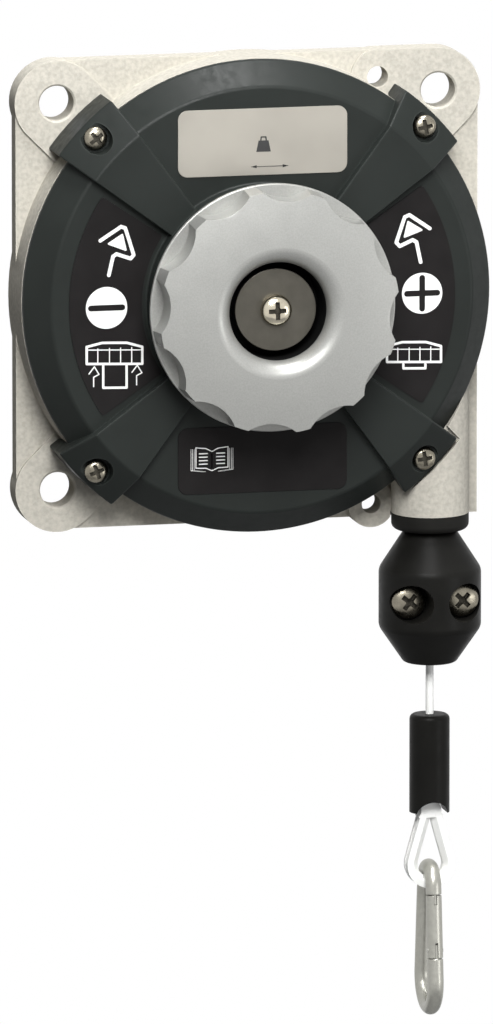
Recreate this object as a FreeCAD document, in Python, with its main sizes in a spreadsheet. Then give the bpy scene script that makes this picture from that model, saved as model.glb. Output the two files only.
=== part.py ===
import FreeCAD, Part

import math
import os
import re

import Sketcher

# Spring tool balancer: a cast housing that is screwed to a wall or rail, a sprung
# drum that reels a thin steel cable, and a hook assembly that carries the tool.
# Millimetres.  X to the right, Z up, Y into the wall.  The origin is the centre of
# the fixing holes, on the face that lies against the wall, so a "depth" below is a
# distance in front of the wall, along -Y.

SIZES = {
    # Fixing plate and lugs.
    "hole_pitch": (100.0, "distance between fixing holes, across and up"),
    "lug_radius": (11.0, "radius round a fixing hole"),
    "lug_hole": (4.5, "radius of a fixing hole"),
    "lug_front": (7.0, "depth of a lug's front face"),
    "lug_reach": (26.0, "length of a lug towards the centre"),
    "side_inset": (0.4, "plate's sides inside the lugs' outer edge"),
    "foot_inset": (0.7, "plate's lower edge inside the lugs' outer edge"),
    "web_back": (1.4, "depth of the plate's rear face"),
    "web_thick": (4.7, "thickness of the plate"),
    "hole_chamfer": (0.5, "chamfer on the fixing holes"),
    "top_eye_in": (16.0, "upper safety eye, inwards from the fixing hole"),
    "top_eye_up": (4.0, "upper safety eye, above the fixing hole"),
    "top_eye_radius": (7.0, "radius round the upper safety eye"),
    "top_eye_hole": (2.75, "radius of the upper safety hole"),
    "low_eye_in": (14.8, "lower safety eye, inwards from the cable"),
    "low_eye_up": (2.0, "lower safety eye, above the outlet's lower end"),
    "low_eye_radius": (6.1, "radius round the lower safety eye"),
    "low_eye_hole": (2.5, "radius of the lower safety hole"),
    # Round cup of the housing.
    "wall_radius": (61.3, "outer radius of the cup"),
    "wall_thick": (3.0, "thickness of the cup's wall"),
    "floor_thick": (3.0, "thickness of the cup's floor"),
    "rim_depth": (16.0, "depth of the cup's rim"),
    "boss_radius": (3.0, "radius of a cover screw's boss"),
    "bearing_radius": (9.0, "radius of the rear bearing boss"),
    "bearing_rise": (2.0, "height of the rear bearing boss over the floor"),
    "journal_radius": (4.0, "radius of the arbor's rear journal"),
    "journal_end": (1.6, "depth of the arbor's rear end"),
    # Cable outlet.
    "cable_x": (47.3, "cable axis, across; the radius at which it leaves the drum"),
    "cable_radius": (1.03, "radius of the cable"),
    "rim_cable": (6.0, "cable axis behind the cup's rim"),
    "tube_radius": (10.0, "outer radius of the outlet tube"),
    "tube_inset": (1.3, "outlet's lower end above the plate's lower edge"),
    "tube_top": (20.0, "upper end of the outlet tube, below the origin"),
    "passage_radius": (3.0, "radius of the cable passage"),
    "guide_radius": (6.5, "outer radius of the cable guide"),
    "guide_length": (9.0, "length of the cable guide"),
    "guide_gap": (0.57, "clearance of the cable in its guide"),
    "guide_flare": (1.8, "flare of the guide's upper mouth"),
    "flare_length": (3.0, "length of the guide's upper flare"),
    "guide_lip": (1.0, "bevel of the guide's lower mouth"),
    # Front cover.
    "cover_step": (0.6, "cover's skirt inside the cup's wall"),
    "skirt_height": (1.6, "height of the cover's skirt over the rim"),
    "bevel_run": (5.6, "width of the bevel between skirt and panel"),
    "bevel_rise": (5.9, "height of the bevel between skirt and panel"),
    "shell_thick": (2.2, "wall of the cover"),
    "web_extra": (1.8, "extra thickness of the cover inside the collar"),
    "collar_radius": (30.2, "outer radius of the collar round the knob"),
    "collar_wall": (2.7, "wall of the collar"),
    "collar_rise": (10.0, "height of the collar over the panel"),
    "collar_edge": (0.6, "bevel of the collar's front edge"),
    "seat_drop": (1.0, "seat inside the collar, below the panel"),
    "bush_seat": (7.6, "radius of the hole for the front bush"),
    "arm_rise": (3.0, "height of an arm over the panel"),
    "arm_angle": (8.6, "half angle of an arm"),
    "arm_root": (28.6, "where an arm starts, from the axis"),
    "arm_overhang": (3.6, "end of an arm outside the cup's wall"),
    "slope_run": (9.9, "length of an arm's sloping end"),
    "slope_fall": (7.0, "fall of an arm's sloping end"),
    "arm_edge": (0.7, "rounding along an arm's top edge"),
    "seat_rise": (1.5, "seat of the arm that crosses the outlet, over the rim"),
    "cover_gap": (0.3, "clearance between cover and housing"),
    # Cover screws.
    "screw_inset": (0.49, "cover screws inside the cup's outer radius"),
    "head_rise": (3.0, "screw head's face over the arm's outer end"),
    "head_height": (2.0, "height of a screw head"),
    "head_radius": (3.0, "radius of a screw head"),
    "sink_gap": (0.8, "clearance round a screw head"),
    "shank_radius": (1.45, "radius of a cover screw's shank"),
    "shank_length": (12.0, "length of a cover screw's shank"),
    "short_shank": (6.0, "length of the shank over the outlet"),
    "screw_gap": (0.05, "clearance round a screw's shank"),
    # Knob and clutch.
    "knob_radius": (31.2, "radius of the knob at its face"),
    "knob_height": (10.8, "height of the knob"),
    "knob_flare": (0.8, "how much wider the knob is at its rear edge"),
    "knob_gap": (0.7, "clearance between knob and collar"),
    "ledge_height": (1.4, "height of the plain rim behind the flutes"),
    "knob_dome": (1.4, "fall of the knob's face from its recess to its edge"),
    "knob_edge": (0.9, "rounding of the knob's front edge"),
    "flute_count": (12, "flutes round the knob"),
    "flute_radius": (10.8, "radius of a flute"),
    "flute_offset": (8.2, "flute's centre outside the knob's face radius"),
    "flute_turn": (26.3, "angle of the first flute"),
    "recess_radius": (13.5, "radius of the recess in the knob"),
    "recess_round": (2.0, "bevel of the recess edge"),
    "hub_radius": (17.0, "radius of the knob's hub"),
    "hub_floor": (4.0, "thickness of the hub's floor"),
    "ring_rim": (0.4, "plain rim of the toothed ring beside its teeth"),
    "ring_plate": (1.8, "thickness of the toothed ring under its teeth"),
    "tooth_count": (12, "teeth of the face clutch"),
    "tooth_height": (1.5, "height of a clutch tooth"),
    "tooth_angle": (7.0, "half angle of a clutch tooth"),
    "tooth_inner": (13.0, "inner radius of the clutch teeth"),
    "clutch_gap": (0.2, "clearance over the clutch teeth"),
    # Arbor, its bushes and the knob's coil.
    "arbor_radius": (6.0, "radius of the arbor"),
    "arbor_flats": (10.0, "distance across the arbor's flats"),
    "run_gap": (0.06, "running clearance of a shaft, on the radius"),
    "seat_gap": (0.05, "clearance round a piece that is fixed in its seat"),
    "washer_radius": (10.6, "radius of the retaining washer"),
    "washer_thick": (1.2, "thickness of the retaining washer"),
    "axle_head_radius": (4.0, "radius of the central screw's head"),
    "axle_head_height": (2.6, "height of the central screw's head"),
    "axle_shank": (2.4, "radius of the central screw's shank"),
    "axle_length": (10.0, "length of the central screw's shank"),
    "coil_inner": (7.4, "inner radius of the knob's return coil"),
    "coil_wall": (2.0, "radial thickness of the knob's return coil"),
    "coil_length": (7.3, "length of the knob's return coil at rest"),
    "bush_wall": (1.5, "wall of a plain bush"),
    "flange_radius": (9.5, "radius of a bush's flange"),
    "flange_thick": (2.2, "thickness of a bush's flange"),
    # Drum, cable winding and mainspring.
    "drum_rim": (3.7, "height of the drum's flanges over the cable's axis"),
    "flange_edge": (1.1, "thickness of the drum's flanges"),
    "drum_wall": (4.3, "drum's inner radius inside the cable's axis"),
    "drum_web": (2.0, "thickness of the drum's disc"),
    "hub_outer": (11.0, "radius of the drum's hub"),
    "strip_thick": (1.2, "thickness of the mainspring strip, drawn in few turns"),
    "strip_turns": (3, "turns of the mainspring that are drawn"),
    "strip_pitch": (9.3, "distance between the drawn turns"),
    "strip_gap": (0.6, "clearance between the hub and the first turn"),
    "lid_thick": (0.8, "thickness of the spring's retaining disc"),
    "part_gap": (0.3, "clearance between pieces that move past each other"),
    # Used by several parts.
    "turned_edge": (0.5, "bevel on the edges of turned parts"),
    "overrun": (1.0, "how far a feature runs past the one that it joins or cuts"),
    # Rubber bumper and cable stopper.
    "bumper_height": (4.4, "height of the bumper"),
    "bumper_edge": (1.6, "bevel of the bumper's lower edge"),
    "bumper_bore": (3.6, "bore of the bumper"),
    "stopper_length": (34.5, "length of the stopper"),
    "stopper_end": (6.75, "radius of the stopper's ends"),
    "stopper_radius": (13.2, "radius of the stopper's middle"),
    "stopper_cone": (10.0, "length of the upper cone"),
    "stopper_band": (15.1, "length of the cylindrical middle"),
    "stopper_edge": (0.5, "bevel of the stopper's ends"),
    "clamp_screw_x": (7.0, "clamp screws, each side of the cable"),
    "clamp_face": (7.3, "clamp screw's face in front of the cable axis"),
    "clamp_head": (4.5, "radius of a clamp screw's head"),
    "clamp_sink_gap": (0.5, "clearance round a clamp screw's head"),
    "clamp_height": (2.6, "height of a clamp screw's head"),
    "clamp_shank": (1.95, "radius of a clamp screw's shank"),
    "clamp_tip": (9.0, "clamp screw's tip behind the cable axis"),
    "nut_flats": (7.0, "distance across a clamp nut's flats"),
    "nut_height": (3.2, "height of a clamp nut"),
    "nut_seat": (5.0, "clamp nut's seat behind the cable axis"),
    # Cable loop, sleeve and thimble.
    "free_cable": (13.7, "cable that shows between stopper and sleeve"),
    "sleeve_length": (25.7, "length of the sleeve"),
    "sleeve_radius": (5.2, "radius of the sleeve"),
    "sleeve_bore": (3.5, "bore of the sleeve"),
    "sleeve_cap": (2.0, "thickness of the sleeve's closed upper end"),
    "sleeve_edge": (1.2, "bevel of the sleeve's upper edge"),
    "cord_gap": (0.1, "clearance of the cable in the sleeve and the thimble"),
    "arch_radius": (4.2, "radius of the arch cut into the sleeve's foot"),
    "arch_drop": (1.0, "centre of that arch below the sleeve's foot"),
    "crimp_length": (14.0, "length of the crimped ferrule"),
    "crimp_wall": (0.9, "wall of the ferrule in front of and behind the strands"),
    "crimp_end": (0.5, "wall of the ferrule beside the strands"),
    "crimp_gap": (0.03, "clearance of the strands in the ferrule"),
    "strand_gap": (0.12, "half the gap between the two strands of the loop"),
    "eye_drop": (13.65, "centre of the thimble's eye below the sleeve's foot"),
    "eye_radius": (3.35, "inner radius of the thimble"),
    "eye_apex": (12.35, "inner apex of the thimble above its centre"),
    "thimble_band": (2.9, "thickness of the thimble from eye to edge"),
    "thimble_width": (4.3, "width of the thimble, front to back"),
    "thimble_bevel": (1.3, "bevel along the edges of the eye"),
    "thimble_top": (13.6, "top of the thimble above its centre"),
    "groove_depth": (1.05, "cable axis in from the thimble's edge"),
    # Carabiner.
    "wire_radius": (2.05, "radius of the carabiner's wire"),
    "bow_gap": (0.5, "clearance beside the thimble inside the upper bow"),
    "rest_gap": (0.35, "clearance under the upper bow, over the thimble's bar"),
    "basket_radius": (7.5, "radius of the lower bow, at the wire's axis"),
    "bow_distance": (24.55, "distance between the centres of the two bows"),
    "gate_start": (2.2, "gate's nose, down the leg from the upper bow"),
    "gate_length": (14.4, "gate's length from nose to pivot"),
    "gate_gap": (0.2, "clearance at both ends of the gate"),
    "tongue_half": (0.6, "half thickness of the tongues in the gate's slots"),
    "slot_gap": (0.15, "clearance on each side of a tongue"),
    "nose_tongue": (2.4, "length of the nose tongue"),
    "pivot_radius": (0.8, "radius of the gate's pivot pin"),
    # Labels.
    "label_width": (44.2, "width of the upper and lower labels"),
    "label_height": (17.2, "height of the upper and lower labels"),
    "label_round": (2.5, "corner radius of the labels"),
    "label_z": (41.0, "centre of a label above or below the axis"),
    "label_thick": (0.3, "thickness of a label"),
    "sector_gap": (1.4, "side label's inner edge outside the collar"),
    "sector_inset": (4.6, "side label's outer edge inside the panel's edge"),
    "sector_half": (34.1, "half angle of a side label"),
}

# Sizes that follow from the ones above.
FORMULAS = {
    "plate_half": "hole_pitch / 2 + lug_radius - side_inset",
    "plate_top": "hole_pitch / 2 + lug_radius",
    "plate_bottom": "hole_pitch / 2 + lug_radius - foot_inset",
    "web_front": "web_back + web_thick",
    "top_eye_x": "hole_pitch / 2 - top_eye_in",
    "top_eye_z": "hole_pitch / 2 + top_eye_up",
    "low_eye_x": "cable_x - low_eye_in",
    "low_eye_z": "tube_bottom - low_eye_up",
    "bearing_depth": "floor_thick + bearing_rise",
    "cable_depth": "rim_depth - rim_cable",
    "tube_bottom": "plate_bottom - tube_inset",
    "guide_bore": "cable_radius + guide_gap",
    "guide_mouth": "guide_bore + guide_flare",
    "cover_radius": "wall_radius - cover_step",
    "skirt_depth": "rim_depth + skirt_height",
    "panel_radius": "cover_radius - bevel_run",
    "panel_depth": "skirt_depth + bevel_rise",
    "panel_back": "panel_depth - shell_thick",
    "web_back_depth": "panel_back - web_extra",
    "web_depth": "panel_depth - seat_drop",
    "collar_depth": "panel_depth + collar_rise",
    "arm_depth": "panel_depth + arm_rise",
    "arm_end": "wall_radius + arm_overhang",
    "arm_fold": "arm_end - slope_run",
    "arm_end_depth": "arm_depth - slope_fall",
    "arm_seat": "rim_depth + seat_rise",
    "screw_place": "(wall_radius - screw_inset) / sqrt(2)",
    "head_depth": "arm_end_depth + head_rise",
    "head_seat": "head_depth - head_height",
    "head_sink": "head_radius + sink_gap",
    "knob_back": "collar_depth + knob_gap",
    "knob_ledge": "knob_back + ledge_height",
    "knob_front": "knob_back + knob_height",
    "knob_base": "knob_radius + knob_flare",
    "flute_centre": "knob_radius + flute_offset",
    "ring_front": "web_depth + ring_plate",
    "hub_back": "ring_front + tooth_height + clutch_gap",
    "recess_floor": "hub_back + hub_floor",
    "arbor_front": "recess_floor + coil_length",
    "arbor_round_end": "web_depth + overrun",
    "washer_front": "arbor_front + washer_thick",
    "drum_back": "bearing_depth + part_gap",
    "drum_front": "web_back_depth - flange_thick - part_gap",
    "drum_flange": "cable_x + drum_rim",
    "drum_bore": "cable_x - drum_wall",
    "strip_inner": "hub_outer + strip_thick / 2 + strip_gap",
    "bumper_radius": "tube_radius",
    "stopper_top": "tube_bottom + bumper_height + part_gap",
    "clamp_screw_z": "stopper_cone + stopper_band / 2",
    "clamp_sink": "clamp_head + clamp_sink_gap",
    "sleeve_top": "stopper_top + stopper_length + free_cable",
    "sleeve_bottom": "sleeve_top + sleeve_length",
    "strand_offset": "cable_radius + strand_gap",
    "eye_z": "sleeve_bottom + eye_drop",
    "bow_radius": "wire_radius + thimble_width / 2 + bow_gap",
    "bow_z": "eye_z + eye_radius - rest_gap - wire_radius + bow_radius",
    "slot_half": "tongue_half + slot_gap",
    "sector_inner": "collar_radius + sector_gap",
    "sector_outer": "panel_radius - sector_inset",
}

doc = FreeCAD.newDocument("ToolBalancer")
sheet = doc.addObject("Spreadsheet::Sheet", "Sizes")
pieces = []


def fill_sheet():
    """Write every size with its alias and its meaning."""
    for row, (alias, (number, meaning)) in enumerate(SIZES.items(), start=1):
        sheet.set(f"A{row}", alias)
        sheet.set(f"B{row}", str(number))
        sheet.setAlias(f"B{row}", alias)
        sheet.set(f"C{row}", meaning)
    doc.recompute()


def spelled_out(formula):
    """The formula with every dependent size written as the sizes that drive it."""
    def opened(match):
        word = match.group()
        return f"({spelled_out(FORMULAS[word])})" if word in FORMULAS else word
    return re.sub(r"[a-z][a-z_0-9]*", opened, str(formula))


def size(formula):
    """The number that a formula of the sizes' names gives."""
    return float(sheet.evalExpression(spelled_out(formula)))


def bound(formula):
    """The formula as other objects of the document must write it."""
    def with_sheet(match):
        word = match.group()
        return f"Sizes.{word}" if word in SIZES else word
    return re.sub(r"[a-z][a-z_0-9]*", with_sheet, spelled_out(formula))


def bind(thing, prop, formula):
    thing.setExpression(prop, bound(formula))


# ---------------------------------------------------------------- sketch helpers

def new_body(name, x=0, y=0, z=0):
    """A body whose own origin lies at x, y, z."""
    body = doc.addObject("PartDesign::Body", name)
    body.Label = name
    for axis, formula in zip("xyz", (x, y, z)):
        bind(body, f"Placement.Base.{axis}", formula)
    pieces.append(body)
    return body


def origin_feature(body, role):
    return next(f for f in body.Origin.OriginFeatures if f.Role == role)


def new_sketch(body, plane, offset=0, turn=0):
    """A sketch on one of the body's origin planes, moved along the plane's normal."""
    sketch = body.newObject("Sketcher::SketchObject", f"{body.Name}_sketch")
    sketch.AttachmentSupport = [(origin_feature(body, f"{plane}_Plane"), "")]
    sketch.MapMode = "FlatFace"
    turned = FreeCAD.Rotation(FreeCAD.Vector(0, 0, 1), size(turn))
    sketch.AttachmentOffset = FreeCAD.Placement(FreeCAD.Vector(), turned)
    bind(sketch, "AttachmentOffset.Base.z", offset)
    return sketch


def pin_point(sketch, geometry, point, x, y):
    """Fix one point of a sketch at x, y from its origin."""
    for kind, formula in (("DistanceX", x), ("DistanceY", y)):
        rule = Sketcher.Constraint(kind, -1, 1, geometry, point, size(formula))
        index = sketch.addConstraint(rule)
        bind(sketch, f"Constraints[{index}]", formula)


def outline(sketch, corners):
    """A closed outline of straight lines through the corners."""
    places = [FreeCAD.Vector(size(x), size(y), 0) for x, y in corners]
    first = sketch.GeometryCount
    count = len(places)
    for i in range(count):
        sketch.addGeometry(Part.LineSegment(places[i], places[(i + 1) % count]), False)
    for i in range(count):
        following = first + (i + 1) % count
        sketch.addConstraint(Sketcher.Constraint("Coincident", first + i, 2, following, 1))
    for i, (x, y) in enumerate(corners):
        pin_point(sketch, first + i, 1, x, y)


def rectangle(sketch, left, right, low, high):
    outline(sketch, [(left, low), (right, low), (right, high), (left, high)])


def circle(sketch, x, y, radius):
    middle = FreeCAD.Vector(size(x), size(y), 0)
    up = FreeCAD.Vector(0, 0, 1)
    index = sketch.addGeometry(Part.Circle(middle, up, size(radius)), False)
    pin_point(sketch, index, 3, x, y)
    rule = Sketcher.Constraint("Radius", index, size(radius))
    bind(sketch, f"Constraints[{sketch.addConstraint(rule)}]", radius)


def hexagon(sketch, x, y, flats):
    """A hexagon with two corners on the sketch's horizontal axis."""
    corners = []
    for i in range(6):
        reach = f"({flats}) / 2 / cos(30)"
        corners.append((f"{x} + {reach} * cos({60 * i})", f"{y} + {reach} * sin({60 * i})"))
    outline(sketch, corners)


# --------------------------------------------------------------- feature helpers

def grown(body, kind, profile, **settings):
    """Add one feature to a body and make sure that it changed the solid the right way."""
    before = body.Shape.Volume if body.Tip else 0.0
    feature = body.newObject(f"PartDesign::{kind}", f"{body.Name}_{kind}")
    feature.Profile = profile
    for prop, setting in settings.items():
        if isinstance(setting, str):
            bind(feature, prop, setting)
        else:
            setattr(feature, prop, setting)
    doc.recompute()
    change = body.Shape.Volume - before
    adds = kind in ("Pad", "Revolution")
    if (change > 0) != adds or abs(change) < 1e-6:
        raise ValueError(f"{feature.Name} changed the volume by {change:.3f}")
    return feature


def pad(body, sketch, length, **more):
    return grown(body, "Pad", sketch, Length=str(length), **more)


def pocket(body, sketch, length, **more):
    return grown(body, "Pocket", sketch, Length=str(length), **more)


def revolve(body, plane, corners, angle=360, **more):
    """Turn an outline about the sketch's vertical axis."""
    sketch = new_sketch(body, plane)
    outline(sketch, corners)
    axis = (sketch, ["V_Axis"])
    return grown(body, "Revolution", sketch, ReferenceAxis=axis, Angle=angle, **more)


def groove(body, plane, corners):
    """Cut an outline away all round the sketch's vertical axis."""
    sketch = new_sketch(body, plane)
    outline(sketch, corners)
    return grown(body, "Groove", sketch, ReferenceAxis=(sketch, ["V_Axis"]), Angle=360)


def repeat_round(body, features, count, angle=360, reverse=False):
    """Repeat features about the body's Y axis."""
    pattern = body.newObject("PartDesign::PolarPattern", f"{body.Name}_pattern")
    pattern.Originals = features
    pattern.Axis = (origin_feature(body, "Y_Axis"), [""])
    pattern.Angle = angle
    pattern.Reversed = reverse
    if isinstance(count, str):
        bind(pattern, "Occurrences", count)
    else:
        pattern.Occurrences = count
    body.Tip = pattern
    doc.recompute()
    return pattern


def edges_where(shape, test):
    """Names of the edges whose middle point and edge pass a test."""
    names = []
    for number, edge in enumerate(shape.Edges, start=1):
        middle = edge.valueAt((edge.FirstParameter + edge.LastParameter) / 2)
        if test(edge, middle):
            names.append(f"Edge{number}")
    return names


def dress(body, kind, amount, test):
    """Round or bevel the edges that pass a test."""
    base = body.Tip
    names = edges_where(base.Shape, test)
    if not names:
        raise ValueError(f"{body.Name} has no edge to dress")
    feature = body.newObject(f"PartDesign::{kind}", f"{body.Name}_{kind}")
    feature.Base = (base, names)
    bind(feature, "Radius" if kind == "Fillet" else "Size", amount)
    doc.recompute()
    return feature


def from_shape(name, shape, x=0, y=0, z=0):
    """A sub-part whose shape comes from Part's own functions."""
    feature = doc.addObject("Part::Feature", name)
    feature.Label = name
    feature.Shape = shape
    feature.Placement.Base = FreeCAD.Vector(size(x), size(y), size(z))
    pieces.append(feature)
    return feature


def near(a, b, slack=0.02):
    return abs(a - b) < slack


# ----------------------------------------------------------------------- housing

def make_housing():
    body = new_body("housing")

    web = new_sketch(body, "XZ", "web_back")
    rectangle(web, "-plate_half", "plate_half", "-plate_bottom", "plate_top")
    pad(body, web, "web_front - web_back")
    right, low = size("plate_half"), -size("plate_bottom")

    def square_corner(edge, middle):
        upright = near(abs(edge.tangentAt(edge.FirstParameter).y), 1)
        return upright and not (near(middle.x, right) and near(middle.z, low))
    dress(body, "Fillet", "lug_radius", square_corner)

    eye = new_sketch(body, "XZ", 0, 45)
    circle(eye, "hole_pitch / sqrt(2)", 0, "lug_radius")
    lug = pad(body, eye, "lug_front")
    tongue = new_sketch(body, "XZ", 0, 45)
    rectangle(tongue, "hole_pitch / sqrt(2) - lug_reach", "hole_pitch / sqrt(2)",
              "-lug_radius", "lug_radius")
    arm = pad(body, tongue, "lug_front")
    boss = new_sketch(body, "XZ", 0, 45)
    circle(boss, "screw_place * sqrt(2)", 0, "boss_radius")
    post = pad(body, boss, "rim_depth")
    repeat_round(body, [lug, arm, post], 3, angle=180, reverse=True)

    for across, up, radius in (("top_eye_x", "top_eye_z", "top_eye_radius"),
                               ("low_eye_x", "-low_eye_z", "low_eye_radius")):
        ear = new_sketch(body, "XZ", 0)
        circle(ear, across, up, radius)
        pad(body, ear, "lug_front")
    bridge = new_sketch(body, "XZ", 0)
    rectangle(bridge, "top_eye_x", "hole_pitch / 2", "hole_pitch / 2 + top_eye_up / 2", "plate_top")
    pad(body, bridge, "lug_front")

    cup = new_sketch(body, "XZ", 0)
    circle(cup, 0, 0, "wall_radius")
    pad(body, cup, "rim_depth")

    tube = new_sketch(body, "XY", "-tube_bottom")
    circle(tube, "cable_x", "-cable_depth", "tube_radius")
    pad(body, tube, "tube_bottom - tube_top")

    groove(body, "XY", [
        (0, "-floor_thick"),
        ("wall_radius - wall_thick", "-floor_thick"),
        ("wall_radius - wall_thick", "-rim_depth"),
        ("cover_radius + cover_gap", "-rim_depth"),
        ("cover_radius + cover_gap", "-arm_depth"),
        (0, "-arm_depth"),
    ])
    seat = new_sketch(body, "XZ", "arm_seat", -45)
    rectangle(seat, "arm_root", "arm_end + cover_gap",
              "-arm_end * tan(arm_angle) - cover_gap", "arm_end * tan(arm_angle) + cover_gap")
    pocket(body, seat, "arm_depth", Reversed=True)

    bearing = new_sketch(body, "XZ", "floor_thick")
    circle(bearing, 0, 0, "bearing_radius")
    pad(body, bearing, "bearing_depth - floor_thick")
    journal = new_sketch(body, "XZ", "bearing_depth")
    circle(journal, 0, 0, "journal_radius + run_gap")
    pocket(body, journal, "bearing_depth - journal_end + part_gap")

    passage = new_sketch(body, "XY", "-tube_bottom")
    circle(passage, "cable_x", "-cable_depth", "passage_radius")
    pocket(body, passage, "tube_bottom - tube_top", Reversed=True)
    mouth = new_sketch(body, "XY", "-tube_bottom")
    circle(mouth, "cable_x", "-cable_depth", "guide_radius + seat_gap")
    pocket(body, mouth, "guide_length", Reversed=True)

    under = new_sketch(body, "XY", "-tube_bottom")
    circle(under, "cable_x", "-cable_depth", "bumper_radius + part_gap")
    pocket(body, under, "bumper_height")

    holes = new_sketch(body, "XZ", "lug_front")
    for across, up in ((-1, 1), (1, 1), (-1, -1)):
        circle(holes, f"{across} * hole_pitch / 2", f"{up} * hole_pitch / 2", "lug_hole")
    circle(holes, "top_eye_x", "top_eye_z", "top_eye_hole")
    circle(holes, "low_eye_x", "-low_eye_z", "low_eye_hole")
    pocket(body, holes, "lug_front")
    for across, up, depth in ((-1, 1, "shank_length"), (1, 1, "shank_length"),
                              (-1, -1, "shank_length"), (1, -1, "short_shank")):
        pilot = new_sketch(body, "XZ", "arm_seat")
        circle(pilot, f"{across} * screw_place", f"{up} * screw_place",
               "shank_radius + screw_gap")
        pocket(body, pilot, f"arm_seat - head_seat + {depth} + part_gap")

    front, radius = -size("lug_front"), size("lug_hole")
    dress(body, "Chamfer", "hole_chamfer",
          lambda edge, middle: near(middle.y, front) and near(edge.Curve.Radius, radius)
          if edge.Curve.TypeId == "Part::GeomCircle" else False)


def make_cable_guide():
    """Low-friction bush in the mouth of the outlet, flared at both ends."""
    body = new_body("cable_guide", "cable_x", "-cable_depth", "-tube_bottom")
    revolve(body, "XZ", [
        ("guide_bore + guide_lip", 0), ("guide_radius", 0), ("guide_radius", "guide_length"),
        ("guide_mouth", "guide_length"), ("guide_bore", "guide_length - flare_length"),
        ("guide_bore", "guide_lip"),
    ])


def make_bumper():
    """Rubber ring that the stopper meets at the end of its travel."""
    body = new_body("bumper", "cable_x", "-cable_depth", "-tube_bottom")
    revolve(body, "XZ", [
        ("bumper_bore", 0), ("bumper_radius", 0),
        ("bumper_radius", "bumper_edge - bumper_height"),
        ("bumper_radius - bumper_edge", "-bumper_height"),
        ("bumper_bore", "-bumper_height"),
    ])


# ------------------------------------------------------------------------- cover

def arm_outline(sketch, start):
    """One arm in plan: a wedge whose sides point at the axis."""
    outline(sketch, [
        (start, f"-({start}) * tan(arm_angle)"),
        ("arm_end + overrun", "-(arm_end + overrun) * tan(arm_angle)"),
        ("arm_end + overrun", "(arm_end + overrun) * tan(arm_angle)"),
        (start, f"({start}) * tan(arm_angle)"),
    ])


def make_front_cover():
    body = new_body("front_cover")
    revolve(body, "XY", [
        ("bush_seat", "-web_back_depth"), ("collar_radius - shell_thick", "-web_back_depth"),
        ("collar_radius", "-panel_back"), ("panel_radius - shell_thick", "-panel_back"),
        ("wall_radius - wall_thick - cover_gap", "-skirt_depth"),
        ("wall_radius - wall_thick - cover_gap", "-rim_depth"),
        ("cover_radius", "-rim_depth"), ("cover_radius", "-skirt_depth"),
        ("panel_radius", "-panel_depth"), ("collar_radius", "-panel_depth"),
        ("collar_radius", "-collar_depth + collar_edge"),
        ("collar_radius - collar_edge", "-collar_depth"),
        ("collar_radius - collar_wall", "-collar_depth"),
        ("collar_radius - collar_wall", "-web_depth"), ("bush_seat", "-web_depth"),
    ])
    skirt = "rim_depth + shell_thick * 2"
    top = new_sketch(body, "XZ", "panel_depth - shell_thick / 2", 45)
    arm_outline(top, "arm_root")
    raised = pad(body, top, "arm_rise + shell_thick / 2")
    repeat_round(body, [raised], 4)

    end = new_sketch(body, "XZ", "lug_front", 45)
    arm_outline(end, "panel_radius - overrun")
    block = pad(body, end, f"{skirt} - lug_front")
    repeat_round(body, [block], 3, angle=180, reverse=True)
    foot = new_sketch(body, "XZ", "arm_seat", -45)
    arm_outline(foot, "panel_radius - overrun")
    pad(body, foot, f"{skirt} - arm_seat")

    groove(body, "XY", [
        ("arm_fold", "-arm_depth"), ("arm_end", "-arm_end_depth"), ("arm_end", 0),
        ("arm_end + overrun * 3", 0), ("arm_end + overrun * 3", "-arm_depth - overrun"),
        ("arm_fold", "-arm_depth - overrun"),
    ])
    groove(body, "XY", [
        ("panel_radius - bevel_run", 0), ("wall_radius + cover_gap", 0),
        ("wall_radius + cover_gap", "-rim_depth"), ("panel_radius - bevel_run", "-rim_depth"),
    ])
    groove(body, "XY", [
        ("panel_radius - bevel_run", "-rim_depth + overrun"),
        ("wall_radius - wall_thick - cover_gap", "-rim_depth + overrun"),
        ("wall_radius - wall_thick - cover_gap", "-skirt_depth"),
        ("panel_radius - bevel_run", "-skirt_depth"),
    ])
    boss = new_sketch(body, "XZ", "rim_depth", 45)
    circle(boss, "screw_place * sqrt(2)", 0, "boss_radius + cover_gap / 2")
    clear = pocket(body, boss, "rim_depth - lug_front")
    repeat_round(body, [clear], 3, angle=180, reverse=True)

    sink = new_sketch(body, "XZ", "arm_depth")
    hole = new_sketch(body, "XZ", "arm_depth")
    for across in (-1, 1):
        for up in (-1, 1):
            place = (f"{across} * screw_place", f"{up} * screw_place")
            circle(sink, *place, "head_sink")
            circle(hole, *place, "shank_radius + part_gap")
    pocket(body, sink, "arm_depth - head_seat")
    pocket(body, hole, "arm_depth - lug_front")

    fold, face = size("arm_fold"), -size("arm_depth")

    def long_edge(edge, middle):
        along = edge.tangentAt(edge.FirstParameter)
        flat_edge = near(middle.y, face) and edge.Curve.TypeId == "Part::GeomLine"
        reach = math.hypot(middle.x, middle.z)
        return flat_edge and near(abs(along.y), 0) and size("collar_radius") < reach < fold
    dress(body, "Fillet", "arm_edge", long_edge)


def make_cover_screw(number, across, up, shank):
    body = new_body(f"cover_screw_{number}", f"{across} * screw_place", 0,
                    f"{up} * screw_place")
    revolve(body, "XY", [
        (0, "-head_depth"), ("head_radius * 0.5", "-head_depth"),
        ("head_radius", "-head_depth + head_height * 0.55"),
        ("head_radius", "-head_seat"),
        ("shank_radius", "-head_seat"),
        ("shank_radius", f"-head_seat + {shank}"),
        (0, f"-head_seat + {shank}"),
    ])


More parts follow.
